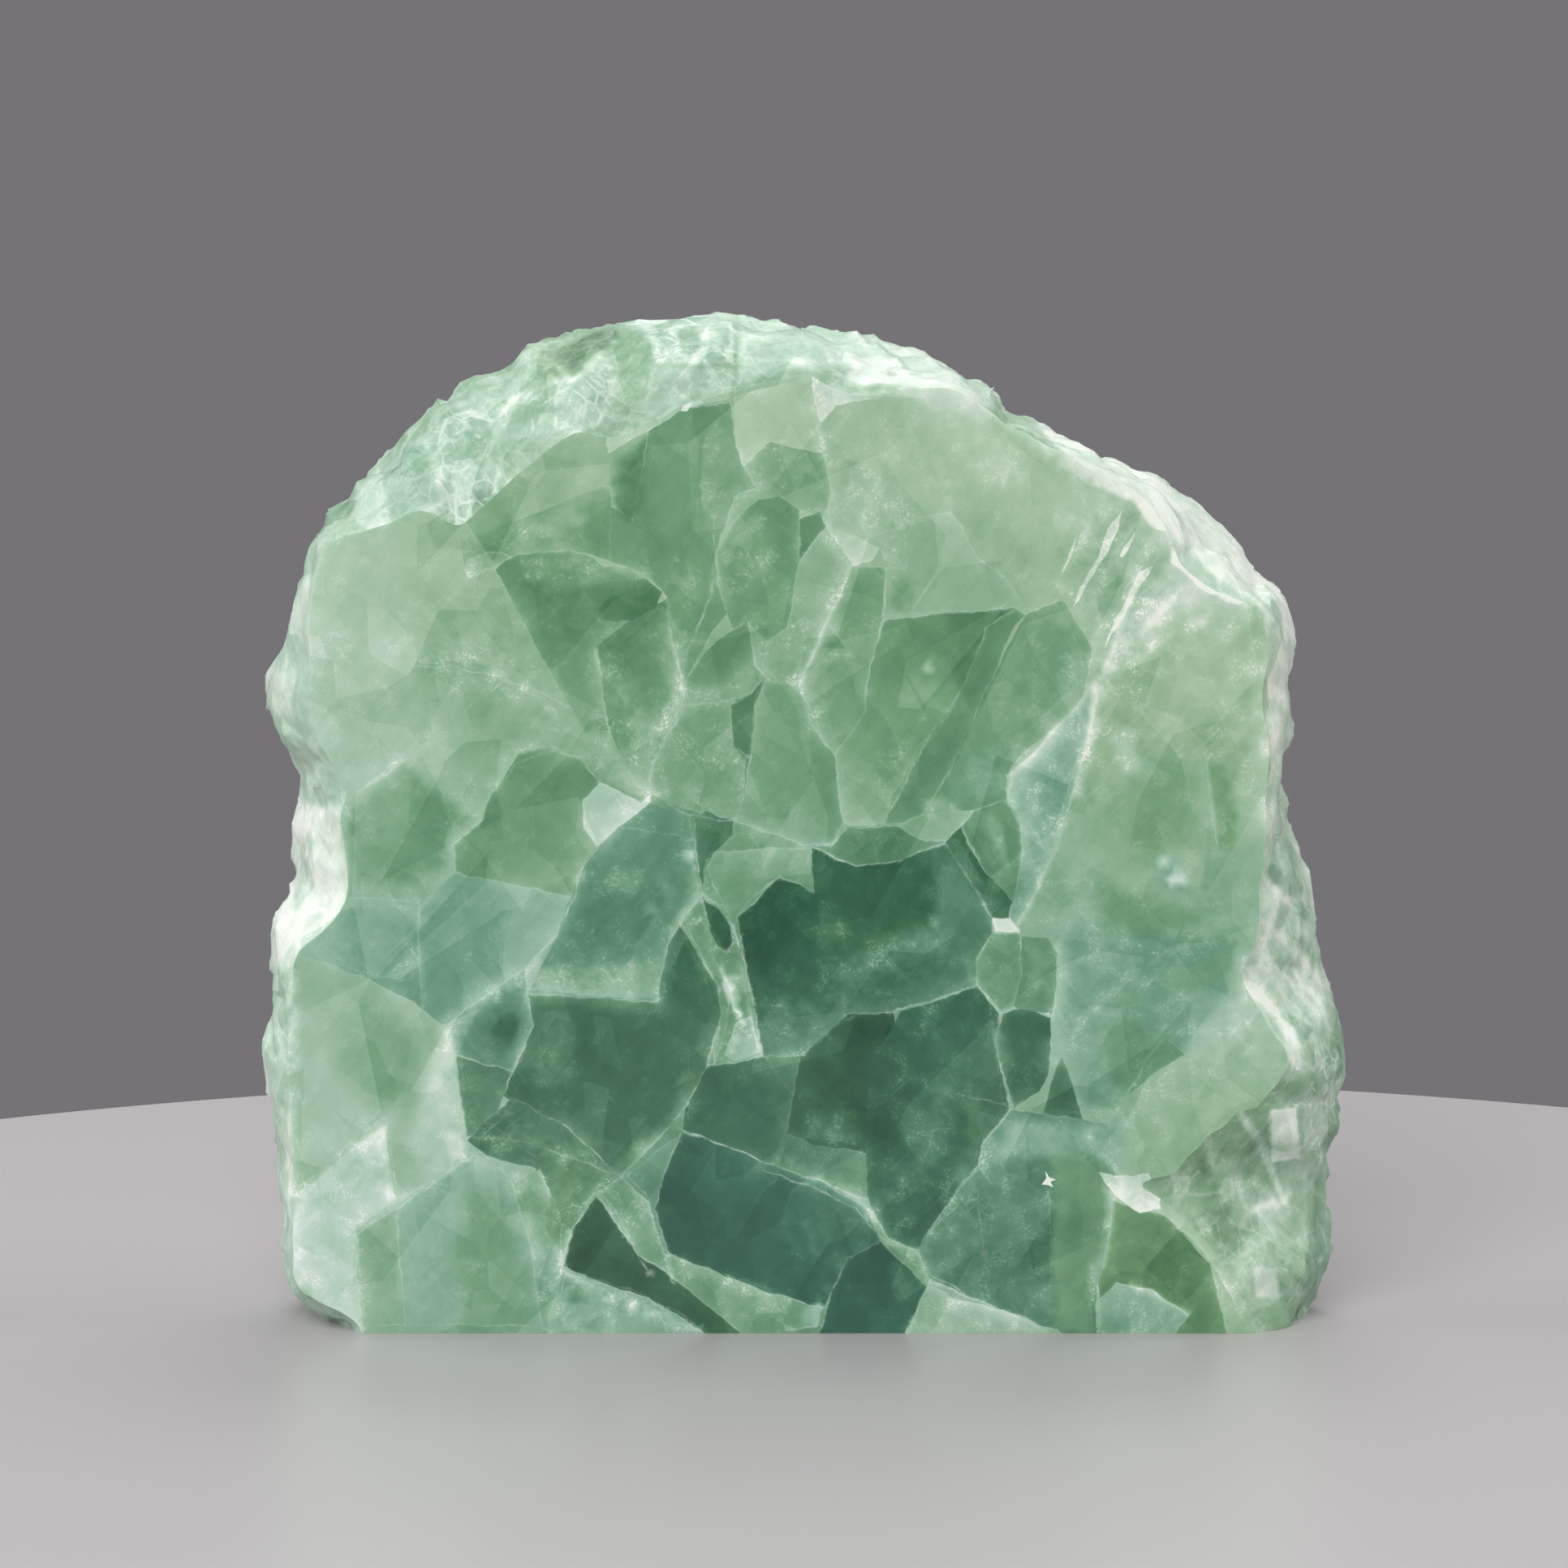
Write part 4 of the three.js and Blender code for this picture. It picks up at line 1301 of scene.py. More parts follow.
# Milky, and set paler also as painted glow of light through the thin edge.
patch(
    "milky_rim_glow", 0.91,
    "1230,470 1300,500 1450,560 1560,640 1620,740 1590,780 1500,720 1400,620 1310,570",
    soft=0.8, warmth=0.35,
)
patch("rim_step", 0.76, "1400,560 1470,590 1530,640 1500,650 1440,610", soft=0.4, warmth=0.4)
patch("flank_top", 0.84, "1550,740 1610,730 1625,830 1615,960 1560,960", warmth=0.6, soft=0.8)
patch("flank_band", 0.70, "1575,860 1612,850 1618,960 1590,1010 1572,960", warmth=0.5, soft=0.4)
patch("flank_silk", 0.68, "1520,960 1620,960 1640,1100 1650,1320 1560,1340 1500,1220", warmth=0.6, soft=1.6)
patch(
    "flank_cream", 0.78,
    "1550,950 1575,950 1580,1120 1555,1185 1543,1120",
    warmth=0.7, cloud=1.6, soft=0.5,
)
patch("flank_facet", 0.54, "1568,1030 1592,1035 1607,1100 1592,1112 1560,1080", warmth=0.4, soft=0.3)
patch("flank_shade", 0.44, "1590,1108 1616,1115 1614,1136 1592,1130", warmth=0.3, soft=0.3)
patch(
    "flank_white", 0.80,
    "1515,1198 1535,1200 1572,1238 1602,1280 1608,1325 1590,1318 1570,1255 1535,1228",
    cloud=1.6, sparkle=0.7, soft=0.5,
)
patch("flank_gap", 0.44, "1582,1243 1622,1268 1604,1290 1588,1262", warmth=0.4, soft=0.3)
patch(
    "flank_mottle", 0.54,
    "1612,1285 1655,1290 1655,1440 1610,1440",
    warmth=0.5, cloud=1.4, sparkle=0.8, soft=0.6,
)
patch(
    "bite_ground", 0.52,
    "1370,1400 1450,1330 1560,1320 1612,1325 1612,1600 1560,1660 1480,1640 1430,1520",
    warmth=0.6, cloud=0.8, soft=1.4,
)
patch(
    "bite_pale", 0.60,
    "1510,1455 1550,1440 1592,1500 1602,1560 1590,1605 1540,1605 1510,1545",
    warmth=0.5, cloud=1.2, soft=1.0,
)
patch(
    "bite_diagonal", 0.72,
    "1510,1350 1520,1348 1562,1405 1582,1465 1592,1487 1578,1487 1558,1440 1538,1400",
    soft=0.4,
)
patch("bite_cream", 0.86, "1540,1555 1576,1560 1580,1602 1545,1602", warmth=0.8, soft=0.6)
patch("bite_shade", 0.46, "1607,1440 1645,1440 1642,1600 1607,1605", warmth=0.4, soft=0.6)
patch("bite_fold", 0.50, "1520,1500 1540,1520 1530,1560 1512,1540", warmth=0.5, soft=0.4)
patch("white_block_right", 0.92, "1562,1366 1600,1362 1604,1430 1566,1434", soft=0.35, cloud=1.2)
# Painted light: the left chip faces away from the front lamp, so these three are set paler to make up for
# the light it lacks.
patch("left_chip", 0.97, "330,985 440,985 440,1100 400,1200 330,1200", soft=1.2)
patch("left_chip_gap", 0.78, "352,1040 385,1020 392,1090 362,1130", soft=0.4, cloud=1.0)
patch("left_chip_edge", 0.82, "372,1130 400,1120 395,1190 365,1200", soft=0.4)
patch(
    "left_glass", 0.74,
    "325,720 400,700 392,800 392,900 370,970 325,900",
    soft=0.6, cloud=0.4, sparkle=0.0,
)
patch("left_low_rim", 0.72, "320,1200 372,1200 365,1600 400,1640 330,1600", soft=0.8)
streak("cluster_rim", 0.30, 0.40, "445,660 480,652 500,648 528,628 552,612")
streak("cluster_rim_two", 0.32, 0.40, "548,660 566,662 600,640 640,622 660,605")
streak("cluster_low_line", 0.30, 0.40, "555,640 575,642 590,648")
streak("cluster_side", 0.22, 0.40, "597,575 592,550 612,515 640,485")
streak("olive_cross", 0.30, 0.35, "686,450 704,468 727,450 740,437")
streak("olive_foot", 0.22, 0.35, "662,476 690,470 704,468")
streak("facet_side", 0.22, 0.35, "464,580 471,615 478,648")
streak("facet_side_two", 0.18, 0.40, "524,545 535,580 545,610")
# Painted glint along the band.
streak("band_glint", 0.22, 0.40, "640,440 670,425 705,418")
streak("crystal_line", 0.26, 0.40, "802,455 812,430 800,405")
streak("crystal_line_two", 0.24, 0.40, "822,450 850,448 870,425 875,395")
streak("top_line", 0.20, 0.40, "905,450 920,420 960,400 1000,395")
streak("flank_edge_line", 0.28, 0.45, "1558,1080 1575,1100 1592,1116")
streak("flank_streak_one", 0.24, 0.45, "1548,1150 1585,1190 1622,1232")
streak("flank_streak_two", 0.22, 0.45, "1560,1138 1600,1178 1636,1216")
streak("flank_streak_three", 0.20, 0.45, "1546,1175 1575,1210 1602,1245")
# The next two are painted shade: dark lines between the silky feathers of the flank.
streak("flank_line", -0.18, 0.40, "1580,1140 1610,1170 1640,1196")
streak("flank_line_two", -0.14, 0.40, "1560,1165 1590,1200 1610,1228")
streak("flank_ridge", 0.20, 0.60, "1600,960 1615,1040 1625,1110")
streak("flank_feather", 0.26, 0.45, "1547,1163 1585,1205 1621,1247")
streak("flank_feather_two", 0.24, 0.45, "1537,1195 1568,1240 1600,1289")
streak("flank_feather_three", 0.22, 0.50, "1563,1289 1590,1305 1621,1321")
streak("flank_feather_four", 0.20, 0.50, "1580,1060 1590,1110 1612,1160")
# Painted shade in the hollow between feathers.
streak("flank_hollow", -0.20, 0.45, "1589,1226 1615,1258 1642,1289")
streak("bite_stroke", 0.30, 0.50, "1535,1500 1552,1488 1570,1480")
streak("bite_stroke_two", 0.28, 0.40, "1575,1486 1590,1470")
streak("bite_short", 0.30, 0.40, "1490,1425 1497,1440")
streak(
    "bite_rim", 0.26, 0.80,
    "1400,1478 1430,1495 1455,1515 1480,1540 1500,1570 1515,1595 1525,1620 1535,1632",
)
streak("bite_rim_two", 0.22, 0.50, "1525,1580 1540,1600 1550,1605")
streak("bite_streak", 0.16, 0.60, "1430,1385 1470,1430 1510,1480")
streak("bite_streak_two", 0.14, 0.50, "1460,1370 1500,1420 1530,1470")
streak("bite_streak_three", 0.16, 0.60, "1470,1490 1510,1540 1540,1590")
# The next two are painted shade: dark gaps between the bright streaks.
streak("bite_gap", -0.14, 0.50, "1450,1400 1490,1450 1510,1500")
streak("bite_gap_two", -0.12, 0.50, "1490,1500 1520,1550 1535,1600")
# Painted highlight on the glossy left facet.
streak("left_highlight", 0.25, 1.50, "345,835 347,865")
streak("left_rim_line", 0.26, 0.45, "361,1200 361,1340 355,1400 360,1470")
streak("chip_line", 0.24, 0.40, "350,1000 375,1030 390,1090 372,1130")
print(len(PATCHES), "patches and", len(STREAKS), "streaks")

# %% Bright seams that run on past one grain
line("main_seam", 0.95, "803,978 738,1040 712,1080 708,1105 685,1155 645,1195 585,1235 548,1268")
line(
    "crown_seam", 0.85,
    "803,978 850,1005 905,1012 990,1040 1025,1042 1045,1020 1105,1018 1140,1037 1165,1035 1185,1015",
)
line("foot_seam", 0.9, "870,1315 848,1360 810,1405 765,1450 730,1470 705,1515 695,1570 670,1643")
line(
    "ribbon_seam", 1.0,
    "835,1390 890,1410 950,1435 1010,1455 1070,1480 1095,1525 1130,1540 1145,1570 1200,1600 1290,1635",
)
line("stone_seam", 0.85, "1203,1215 1235,1250 1225,1280 1245,1367 1210,1410 1205,1435 1170,1480 1130,1540")
line("short_scratch", 0.7, "1205,1475 1212,1545")
line("olive_seam", 0.7, "1372,1480 1365,1540 1352,1580")
line("plate_seam", 0.6, "1185,1015 1200,998 1240,985")
line("fan_seam", 0.5, "1351,858 1335,915 1312,985 1298,1050 1270,1110 1255,1140")
line("pond_edge", 0.3, "1082,760 1160,754 1261,752")
line("node_line", 0.4, "879,694 874,740 846,800 838,866")
line("dome_line", 0.5, "607,982 634,943 681,924 724,935")
line("plate_cut", 0.35, "1262,757 1300,742 1345,640")
line("pane_crack", 0.25, "1012,484 1051,492 1113,461 1207,477")
line("ribbon_side", 0.8, "940,1442 1000,1462 1055,1490 1085,1524 1112,1542")
line("foot_lip", 0.5, "700,1568 780,1590 840,1620 872,1645")
line("shadow_cut", 0.5, "576,1400 640,1405 700,1425 765,1450")
line("pillar_line", 0.45, "664,1442 690,1502 695,1570")
line("field_dots", 0.3, "1292,1467 1296,1540 1292,1614")
line("fan_seam_top", 0.3, "1487,733 1432,749 1339,834 1261,904 1242,959 1240,985")
line("pond_scratch", 0.8, "1210,692 1235,710")
line(
    "umbrella_seam", 0.7,
    "610,700 630,685 700,677 730,688 745,697 775,700 800,712 820,735 826,785 835,812 842,860 825,900 "
    "805,940 800,975",
)
line("slot_seam", 0.8, "855,1010 858,1045 865,1100")
line("facet_line", 0.8, "392,700 380,760 384,830 378,880 400,950 430,1000")
line("wisp_one", 0.5, "510,820 560,822 620,835 660,850 700,870")
line("wisp_two", 0.35, "500,760 560,790 600,800")
line("pool_seam", 0.5, "1487,940 1500,1050")
line("olive_edge", 0.5, "1490,1558 1470,1520 1440,1500")
line("mint_seam", 0.7, "548,1268 562,1300 575,1428 490,1482 440,1520")
line("fold_line", 0.6, "362,1472 440,1405 478,1380")
line("fold_scratch", 0.6, "478,1380 486,1440 492,1500")
line("field_line", 0.3, "450,1205 380,1150 340,1120")
line("foot_fleck", 0.4, "450,1632 560,1632 660,1634")
line("middle_line", 0.35, "1110,600 1115,670")
line("top_seam", 0.5, "1010,520 1020,570 1025,610 1015,640")
line("shadow_stroke", 0.4, "590,1405 610,1385 625,1370")
line("shadow_stroke_two", 0.4, "605,1385 635,1408 665,1430")
line("ribbon_left", 0.7, "738,1470 760,1495 785,1545 800,1570")
line("ribbon_right", 0.7, "775,1450 795,1470 810,1520 828,1580")
line("bay_top", 0.45, "765,1020 810,1025 855,1035")
line("vein_left", 0.8, "838,1135 850,1150 870,1185 888,1220")
line("vein_right", 0.8, "870,1105 895,1120 905,1145 915,1180 930,1240 940,1300")
line("node_seam", 0.5, "880,640 882,700 875,740 848,800 841,830")
line("slab_line", 0.3, "625,630 640,650 645,665")
line("hexagon_dots", 0.3, "1190,1350 1215,1357 1243,1362")
print(len(LINES), "seams")

# %% [markdown]
# ## Cutting the face into its mosaic
# The open cut in front is closed by many small triangles. Their sides follow the borders of the
# grains and the seams, so that each border is a crisp line, and the triangles on either side of a
# line are narrow, so that its brightness can fall off within a fraction of a millimetre.

# %% Tools for outlines
def inside(points, starts, ends):
    """True for each point that the closed outline, given by its sides, goes round."""
    x, z = points.T
    hit = np.zeros(len(points), bool)
    for (x0, z0), (x1, z1) in zip(starts, ends):
        level = z1 - z0 if z1 != z0 else 1
        hit ^= ((z0 > z) != (z1 > z)) & (x < x0 + (x1 - x0) * (z - z0) / level)
    return hit


def within(points, outline):
    """The numbers of the points inside an outline, looked for in its own rectangle only."""
    near = np.flatnonzero(((points >= outline.min(axis=0)) & (points <= outline.max(axis=0))).all(axis=1))
    return near[inside(points[near], outline, np.roll(outline, -1, axis=0))]


def gap_to(points, starts, ends):
    """How far each point is from the nearest of these straight sides."""
    gap = np.full(len(points), 1e9)
    for start, end in zip(starts, ends):
        side = end - start
        share = np.clip((points - start) @ side / max(side @ side, 1e-12), 0, 1)
        gap = np.minimum(gap, np.linalg.norm(points - start - share[:, None] * side, axis=1))
    return gap


def top_grain(points):
    """The number of the grain that lies uppermost at each point, or -1 for the ground."""
    top = np.full(len(points), -1)
    for number, character in enumerate(GRAINS):
        if character["soft"] == 0:
            top[within(points, character["outline"])] = number
    return top


# %% Find the rim of the polished face
rough = bmesh.new()
rough.from_mesh(stone.data)
long_edges = [edge for edge in rough.edges if edge.is_boundary and edge.calc_length() > LONG_EDGE]
for edge in long_edges:
    cuts = round(edge.calc_length() / VOXEL)
    bmesh.ops.subdivide_edges(rough, edges=[edge], cuts=cuts)
rough.verts.index_update()
rim_edges = [edge for edge in rough.edges if edge.is_boundary]
rim_points = sorted({point for edge in rim_edges for point in edge.verts}, key=lambda point: point.index)
place_in_rim = {point: number for number, point in enumerate(rim_points)}
rim = np.array([[point.co.x, point.co.z] for point in rim_points]) / MM
rim_sides = [[place_in_rim[point] for point in edge.verts] for edge in rim_edges]
rim_starts = rim[[side[0] for side in rim_sides]]
rim_ends = rim[[side[1] for side in rim_sides]]
off_face = max(abs(point.co.y - FACE_Y) for point in rim_points)
print(len(rim), "points on the rim,", len(long_edges), "long sides split")
print("the rim is off the face by", round(off_face / MM, 4), "mm")

# %% Keep the borders that show
RIM_GAP = 0.35
SIDE_STEP = 0.02


def sides_of(path, closed):
    """The start and end of each side of a path."""
    ends = np.roll(path, -1, axis=0) if closed else path[1:]
    return path[: len(ends)], ends


def clear_of_rim(points):
    return inside(points, rim_starts, rim_ends) & (gap_to(points, rim_starts, rim_ends) > RIM_GAP)


border_starts = []
border_ends = []
border_strength = []
for character in GRAINS:
    if character["soft"] > 0:
        continue
    starts, ends = sides_of(character["outline"], closed=True)
    middle = (starts + ends) / 2
    along = (ends - starts) / np.linalg.norm(ends - starts, axis=1)[:, None]
    across = np.stack([-along[:, 1], along[:, 0]], axis=-1) * SIDE_STEP
    shows = top_grain(middle + across) != top_grain(middle - across)
    border_starts.append(starts[shows])
    border_ends.append(ends[shows])
    border_strength.append(np.full(shows.sum(), character["seam"]))
for seam in LINES:
    starts, ends = sides_of(seam["path"], closed=False)
    border_starts.append(starts)
    border_ends.append(ends)
    border_strength.append(np.full(len(starts), seam["strength"]))
border_starts = np.vstack(border_starts)
border_ends = np.vstack(border_ends)
border_strength = np.concatenate(border_strength)
kept = clear_of_rim(border_starts) & clear_of_rim(border_ends)
border_starts = border_starts[kept]
border_ends = border_ends[kept]
border_strength = border_strength[kept]
print(len(border_starts), "sides of borders and seams")

# %% Rows of points along the borders, and loose points between
SEAM_WIDTH = 0.13
ROWS = (SEAM_WIDTH, 0.45)
ROW_GAP = 0.11
FILL_STEP = 0.95
FILL_SHAKE = 0.6

along = (border_ends - border_starts) / np.linalg.norm(border_ends - border_starts, axis=1)[:, None]
across = np.stack([-along[:, 1], along[:, 0]], axis=-1)
rows = np.vstack([border_starts + side * row * across for row in ROWS for side in (-1, 1)])
columns = np.arange(rim[:, 0].min(), rim[:, 0].max(), FILL_STEP)
levels = np.arange(rim[:, 1].min(), rim[:, 1].max(), FILL_STEP)
fill = np.array([[x + 0.5 * FILL_STEP * (row % 2), z] for row, z in enumerate(levels) for x in columns])
shake = dice(np.c_[np.round(fill / FILL_STEP), np.zeros(len(fill))], seed=5, count=2)
fill += (shake - 0.5) * FILL_SHAKE * FILL_STEP


def thinned(points, spacing, others):
    """The points with those left out that are closer than spacing to the others or to an earlier one."""
    tree = KDTree(len(others))
    for number, (x, z) in enumerate(others):
        tree.insert((x, z, 0), number)
    tree.balance()
    taken = set()
    keep = []
    for number, (x, z) in enumerate(points):
        cell = (round(x / spacing), round(z / spacing))
        if cell not in taken and tree.find((x, z, 0))[2] > spacing:
            taken.add(cell)
            keep.append(number)
    return points[keep]


rows = rows[clear_of_rim(rows)]
rows = thinned(rows, ROW_GAP, border_starts)
fill = fill[clear_of_rim(fill)]
fill = thinned(fill, 0.5 * FILL_STEP, np.vstack([border_starts, rows, rim]))
print(len(rows), "points beside the borders,", len(fill), "points between them")

# %% Close the face with triangles
MERGE = 0.002
FLAT_AREA = 1e-6

joints = np.vstack([border_starts, border_ends])
first = len(rim)
given = np.vstack([rim, joints, rows, fill])
sides = list(rim_sides)
sides += [[first + number, first + len(border_starts) + number] for number in range(len(border_starts))]
result = delaunay_2d_cdt([Vector(place) for place in given], sides, [], 0, MERGE)
face_points = np.array([[place.x, place.y] for place in result[0]])
triangles = np.array(result[2])
centres = face_points[triangles].mean(axis=1)
sides_across = face_points[triangles[:, 1:]] - face_points[triangles[:, :1]]
areas = np.abs(np.linalg.det(sides_across)) / 2
triangles = triangles[inside(centres, rim_starts, rim_ends) & (areas > FLAT_AREA)]
on_rim = {
    output: source
    for output, sources in enumerate(result[3])
    for source in sources
    if source < len(rim)
}
corners = {}
for number in np.unique(triangles):
    if number in on_rim:
        corners[number] = rim_points[on_rim[number]]
    else:
        x, z = face_points[number] * MM
        corners[number] = rough.verts.new((x, FACE_Y, z))
for triangle in triangles:
    rough.faces.new([corners[number] for number in triangle])
bmesh.ops.triangulate(rough, faces=[face for face in rough.faces if len(face.verts) > 4])
bmesh.ops.recalc_face_normals(rough, faces=rough.faces)
for edge in rim_edges:
    edge.smooth = False
open_edges = sum(1 for edge in rough.edges if len(edge.link_faces) != 2)
rough.to_mesh(stone.data)
rough.free()
print(len(triangles), "triangles on the face,", len(stone.data.polygons), "faces in all")
print(open_edges, "open edges")

# %% Smooth the shading between facets that nearly line up
FACET_ANGLE = math.radians(26)

bpy.ops.object.shade_smooth_by_angle(angle=FACET_ANGLE, keep_sharp_edges=True)
triangle_count = sum(len(face.vertices) - 2 for face in stone.data.polygons)
print("smoothed,", triangle_count, "triangles in all")

# %% [markdown]
# ## Writing the look onto the mesh
# Five values are stored at each corner of each face: tone, warmth, cloud, sparkle and rind. Two more
# are stored at each point: seam, which is 1 on a seam and falls off beside it, and ridge, which marks
# the sharp edges of the broken rind.

# %% Where each corner is, as the camera sees it
def seen(points):
    """[x, z] in mm on the plane of the face, straight in front of these points for the camera."""
    away = points[:, 1] - (FACE_Y - CAMERA_BACK)
    climb = points[:, 2] - CAMERA_UP
    level = climb / away
    rise = math.cos(CAMERA_PITCH) * level + math.sin(CAMERA_PITCH)
    reach = math.cos(CAMERA_PITCH) - math.sin(CAMERA_PITCH) * level
    right = (points[:, 0] - CAMERA_SIDE) / away / reach
    pixels = np.stack(
        [FRAME_PIXELS / 2 + LENS_PIXELS * right, FRAME_PIXELS / 2 - LENS_PIXELS * rise / reach],
        axis=-1,
    )
    return cast(pixels) / MM


ON_FACE = 0.01 * MM

mesh = stone.data
point_places = np.zeros(len(mesh.vertices) * 3)
mesh.vertices.foreach_get("co", point_places)
point_places = point_places.reshape(-1, 3)
corner_point = np.zeros(len(mesh.loops), int)
mesh.loops.foreach_get("vertex_index", corner_point)
sizes = np.zeros(len(mesh.polygons), int)
mesh.polygons.foreach_get("loop_total", sizes)
face_centre = np.zeros(len(mesh.polygons) * 3)
mesh.polygons.foreach_get("center", face_centre)
face_centre = face_centre.reshape(-1, 3)
face_normal = np.zeros(len(mesh.polygons) * 3)
mesh.polygons.foreach_get("normal", face_normal)
face_normal = face_normal.reshape(-1, 3)
polished_face = face_centre[:, 1] < FACE_Y + ON_FACE
polished = np.repeat(polished_face, sizes)
corner_seen = seen(point_places[corner_point])
centre_seen = np.repeat(seen(face_centre), sizes, axis=0)
print(polished_face.sum(), "polished faces,", (~polished_face).sum(), "rough ones")

# %% Broad tones everywhere
BLEND_POWER = 3.0
BLEND_NEAR = 2.0

mark_places = cast(np.array([pixel for name, tone, warmth, pixel in GROUND])) / MM
mark_values = np.array([[tone, warmth] for name, tone, warmth, pixel in GROUND])
weight_sum = np.zeros(len(corner_seen))
blend = np.zeros((len(corner_seen), 2))
for place, value in zip(mark_places, mark_values):
    weight = 1 / (np.linalg.norm(corner_seen - place, axis=1) + BLEND_NEAR) ** BLEND_POWER
    weight_sum += weight
    blend += weight[:, None] * value
look = {
    "tone": blend[:, 0] / weight_sum,
    "warmth": blend[:, 1] / weight_sum,
    "cloud": np.full(len(corner_seen), 0.6),
    "sparkle": np.zeros(len(corner_seen)),
}
print("tones run from", look["tone"].min().round(2), "to", look["tone"].max().round(2))


# %% Lay the grains over them
RIM_FADE = 0.9
LEAN = 0.07
BANK_TAPER = 0.2
VEIL_SHARE = 0.7
VEIL_FALL = 1.5
VEIL_CLOUD = 0.8
WARM_ABOVE = 0.25
WARM_FROM = 50
WARM_RISE = 25


def lay(characters, where):
    """Writes the traits of each grain over the corners that lie in it, among the corners given."""
    spots = corner_seen[where]
    middles = centre_seen[where]
    for character in characters:
        outline = character["outline"]
        hit = within(spots if character["soft"] > 0 else middles, outline)
        if len(hit) == 0:
            continue
        gap = gap_to(spots[hit], *sides_of(outline, closed=True))
        cover = np.ones(len(hit))
        if character["soft"] > 0:
            share = np.clip(gap / character["soft"], 0, 1)
            cover = share * share * (3 - 2 * share)
        reach = (outline.max(axis=0) - outline.min(axis=0)) / 2
        offset = (spots[hit] - outline.mean(axis=0)) / reach
        lean = dice(outline[:1] @ np.eye(2, 3), seed=41, count=2)[0] - 0.5
        tone = character["tone"] + offset @ (np.array(character["drift"]) + LEAN * lean)
        x, z = spots[hit].T
        uneven = 1 + np.sin(0.5 * x + 0.33 * z) * np.sin(0.61 * z - 0.27 * x + 1.3)
        tone += character["rim"] * uneven * np.exp(-gap / RIM_FADE)
        targets = where[hit]
        for trait in look:
            value = tone if trait == "tone" else character[trait]
            look[trait][targets] += (value - look[trait][targets]) * cover


def bank_share(places, path):
    """0 to the left of a path, 1 to its right, and less towards both of its ends."""
    nearest = np.full(len(places), 1e9)
    share = np.zeros(len(places))
    for number, (start, end) in enumerate(zip(path[:-1], path[1:])):
        side = end - start
        part = np.clip((places - start) @ side / max(side @ side, 1e-12), 0, 1)
        away = places - start - part[:, None] * side
        gap = np.linalg.norm(away, axis=1)
        right = side[0] * away[:, 1] - side[1] * away[:, 0] < 0
        along = (number + part) / (len(path) - 1)
        taper = np.clip(np.minimum(along, 1 - along) / BANK_TAPER, 0, 1)
        share = np.where(gap < nearest, right * taper, share)
        nearest = np.minimum(nearest, gap)
    return share


def lay_veils(veils, where):
    """Lifts tone and cloud along each veil, for the corners given."""
    for band in veils:
        reach = 3 * band["width"]
        low = band["path"].min(axis=0) - reach
        high = band["path"].max(axis=0) + reach
        near = where[((corner_seen[where] > low) & (corner_seen[where] < high)).all(axis=1)]
        gap = gap_to(corner_seen[near], *sides_of(band["path"], closed=False))
        lift = np.exp(-((gap / band["width"]) ** VEIL_FALL))
        if band["one_sided"]:
            lift *= bank_share(centre_seen[near], band["path"])
        look["tone"][near] += VEIL_SHARE * band["lift"] * lift
        look["cloud"][near] += VEIL_CLOUD * lift


lay(GRAINS, np.flatnonzero(polished))
look["warmth"] += WARM_ABOVE * np.clip((corner_seen[:, 1] - WARM_FROM) / WARM_RISE, 0, 1)
lay_veils(VEILS, np.flatnonzero(polished))
print("laid", len(GRAINS), "grains and", len(VEILS), "veils")

# %% Grains of the rough rind
RIND_BLOCK = 6.5 * MM
BACK_TONE = 0.56
BACK_SHARE = 0.7
BACK_TURN = 1.5
BLOCK_SHADE = 0.12
BLOCK_SHADE_BEHIND = 0.18
RIND_CLOUD = 0.9
RIND_SPARKLE = 0.25
PAINTED_TOP_SHADE = 0.12
FRONT_END = 0.4
FRONT_FADE = 0.5
PATCH_DEPTH = 28 * MM
PATCH_FADE = 12 * MM

blocks = block_of(drawn_out(face_centre, LEFT_GRAIN, GRAIN_STRETCH), RIND_BLOCK, seed=31)
shade = np.repeat(dice(blocks, 32, 1)[:, 0] - 0.5, sizes)
facing_back = np.repeat(np.clip(face_normal[:, 1] * BACK_TURN, 0, 1), sizes)
look["tone"] += np.where(polished, 0, (BACK_TONE - look["tone"]) * BACK_SHARE * facing_back)
look["tone"] += np.where(polished, 0, shade * (BLOCK_SHADE + BLOCK_SHADE_BEHIND * facing_back))
look["cloud"][~polished] = RIND_CLOUD
look["sparkle"][~polished] = RIND_SPARKLE
# Painted shade: rind that faces up is darkened, to offset the stronger light it gets from the lamps above.
look["tone"] -= np.where(polished, 0, PAINTED_TOP_SHADE * np.repeat(np.clip(face_normal[:, 2], 0, 1), sizes))

# Patches and streaks are told for the side that the camera sees, so they fade out towards the back.
point_normal = np.zeros(len(mesh.vertices) * 3)
mesh.vertex_normals.foreach_get("vector", point_normal)
corner_turn = point_normal[1::3][corner_point]
corner_depth = point_places[corner_point, 1] - FACE_Y
front_share = np.clip((FRONT_END - corner_turn) / FRONT_FADE, 0, 1)
front_share *= np.clip((PATCH_DEPTH - corner_depth) / PATCH_FADE, 0, 1)
plain = {trait: values.copy() for trait, values in look.items()}
in_front = np.flatnonzero(~polished & (front_share > 0))
lay(PATCHES, in_front)
lay_veils(STREAKS, in_front)
for trait, values in plain.items():
    look[trait] = values + (look[trait] - values) * np.where(polished, 1, front_share)
look["rind"] = np.where(polished, 0.0, 1.0)
look["rind"][np.repeat(face_normal[:, 2] < -FACING, sizes)] = 0.0

for trait, values in look.items():
    store = mesh.attributes.new(trait, "FLOAT", "CORNER")
    store.data.foreach_set("value", values)
print("stored", list(look))

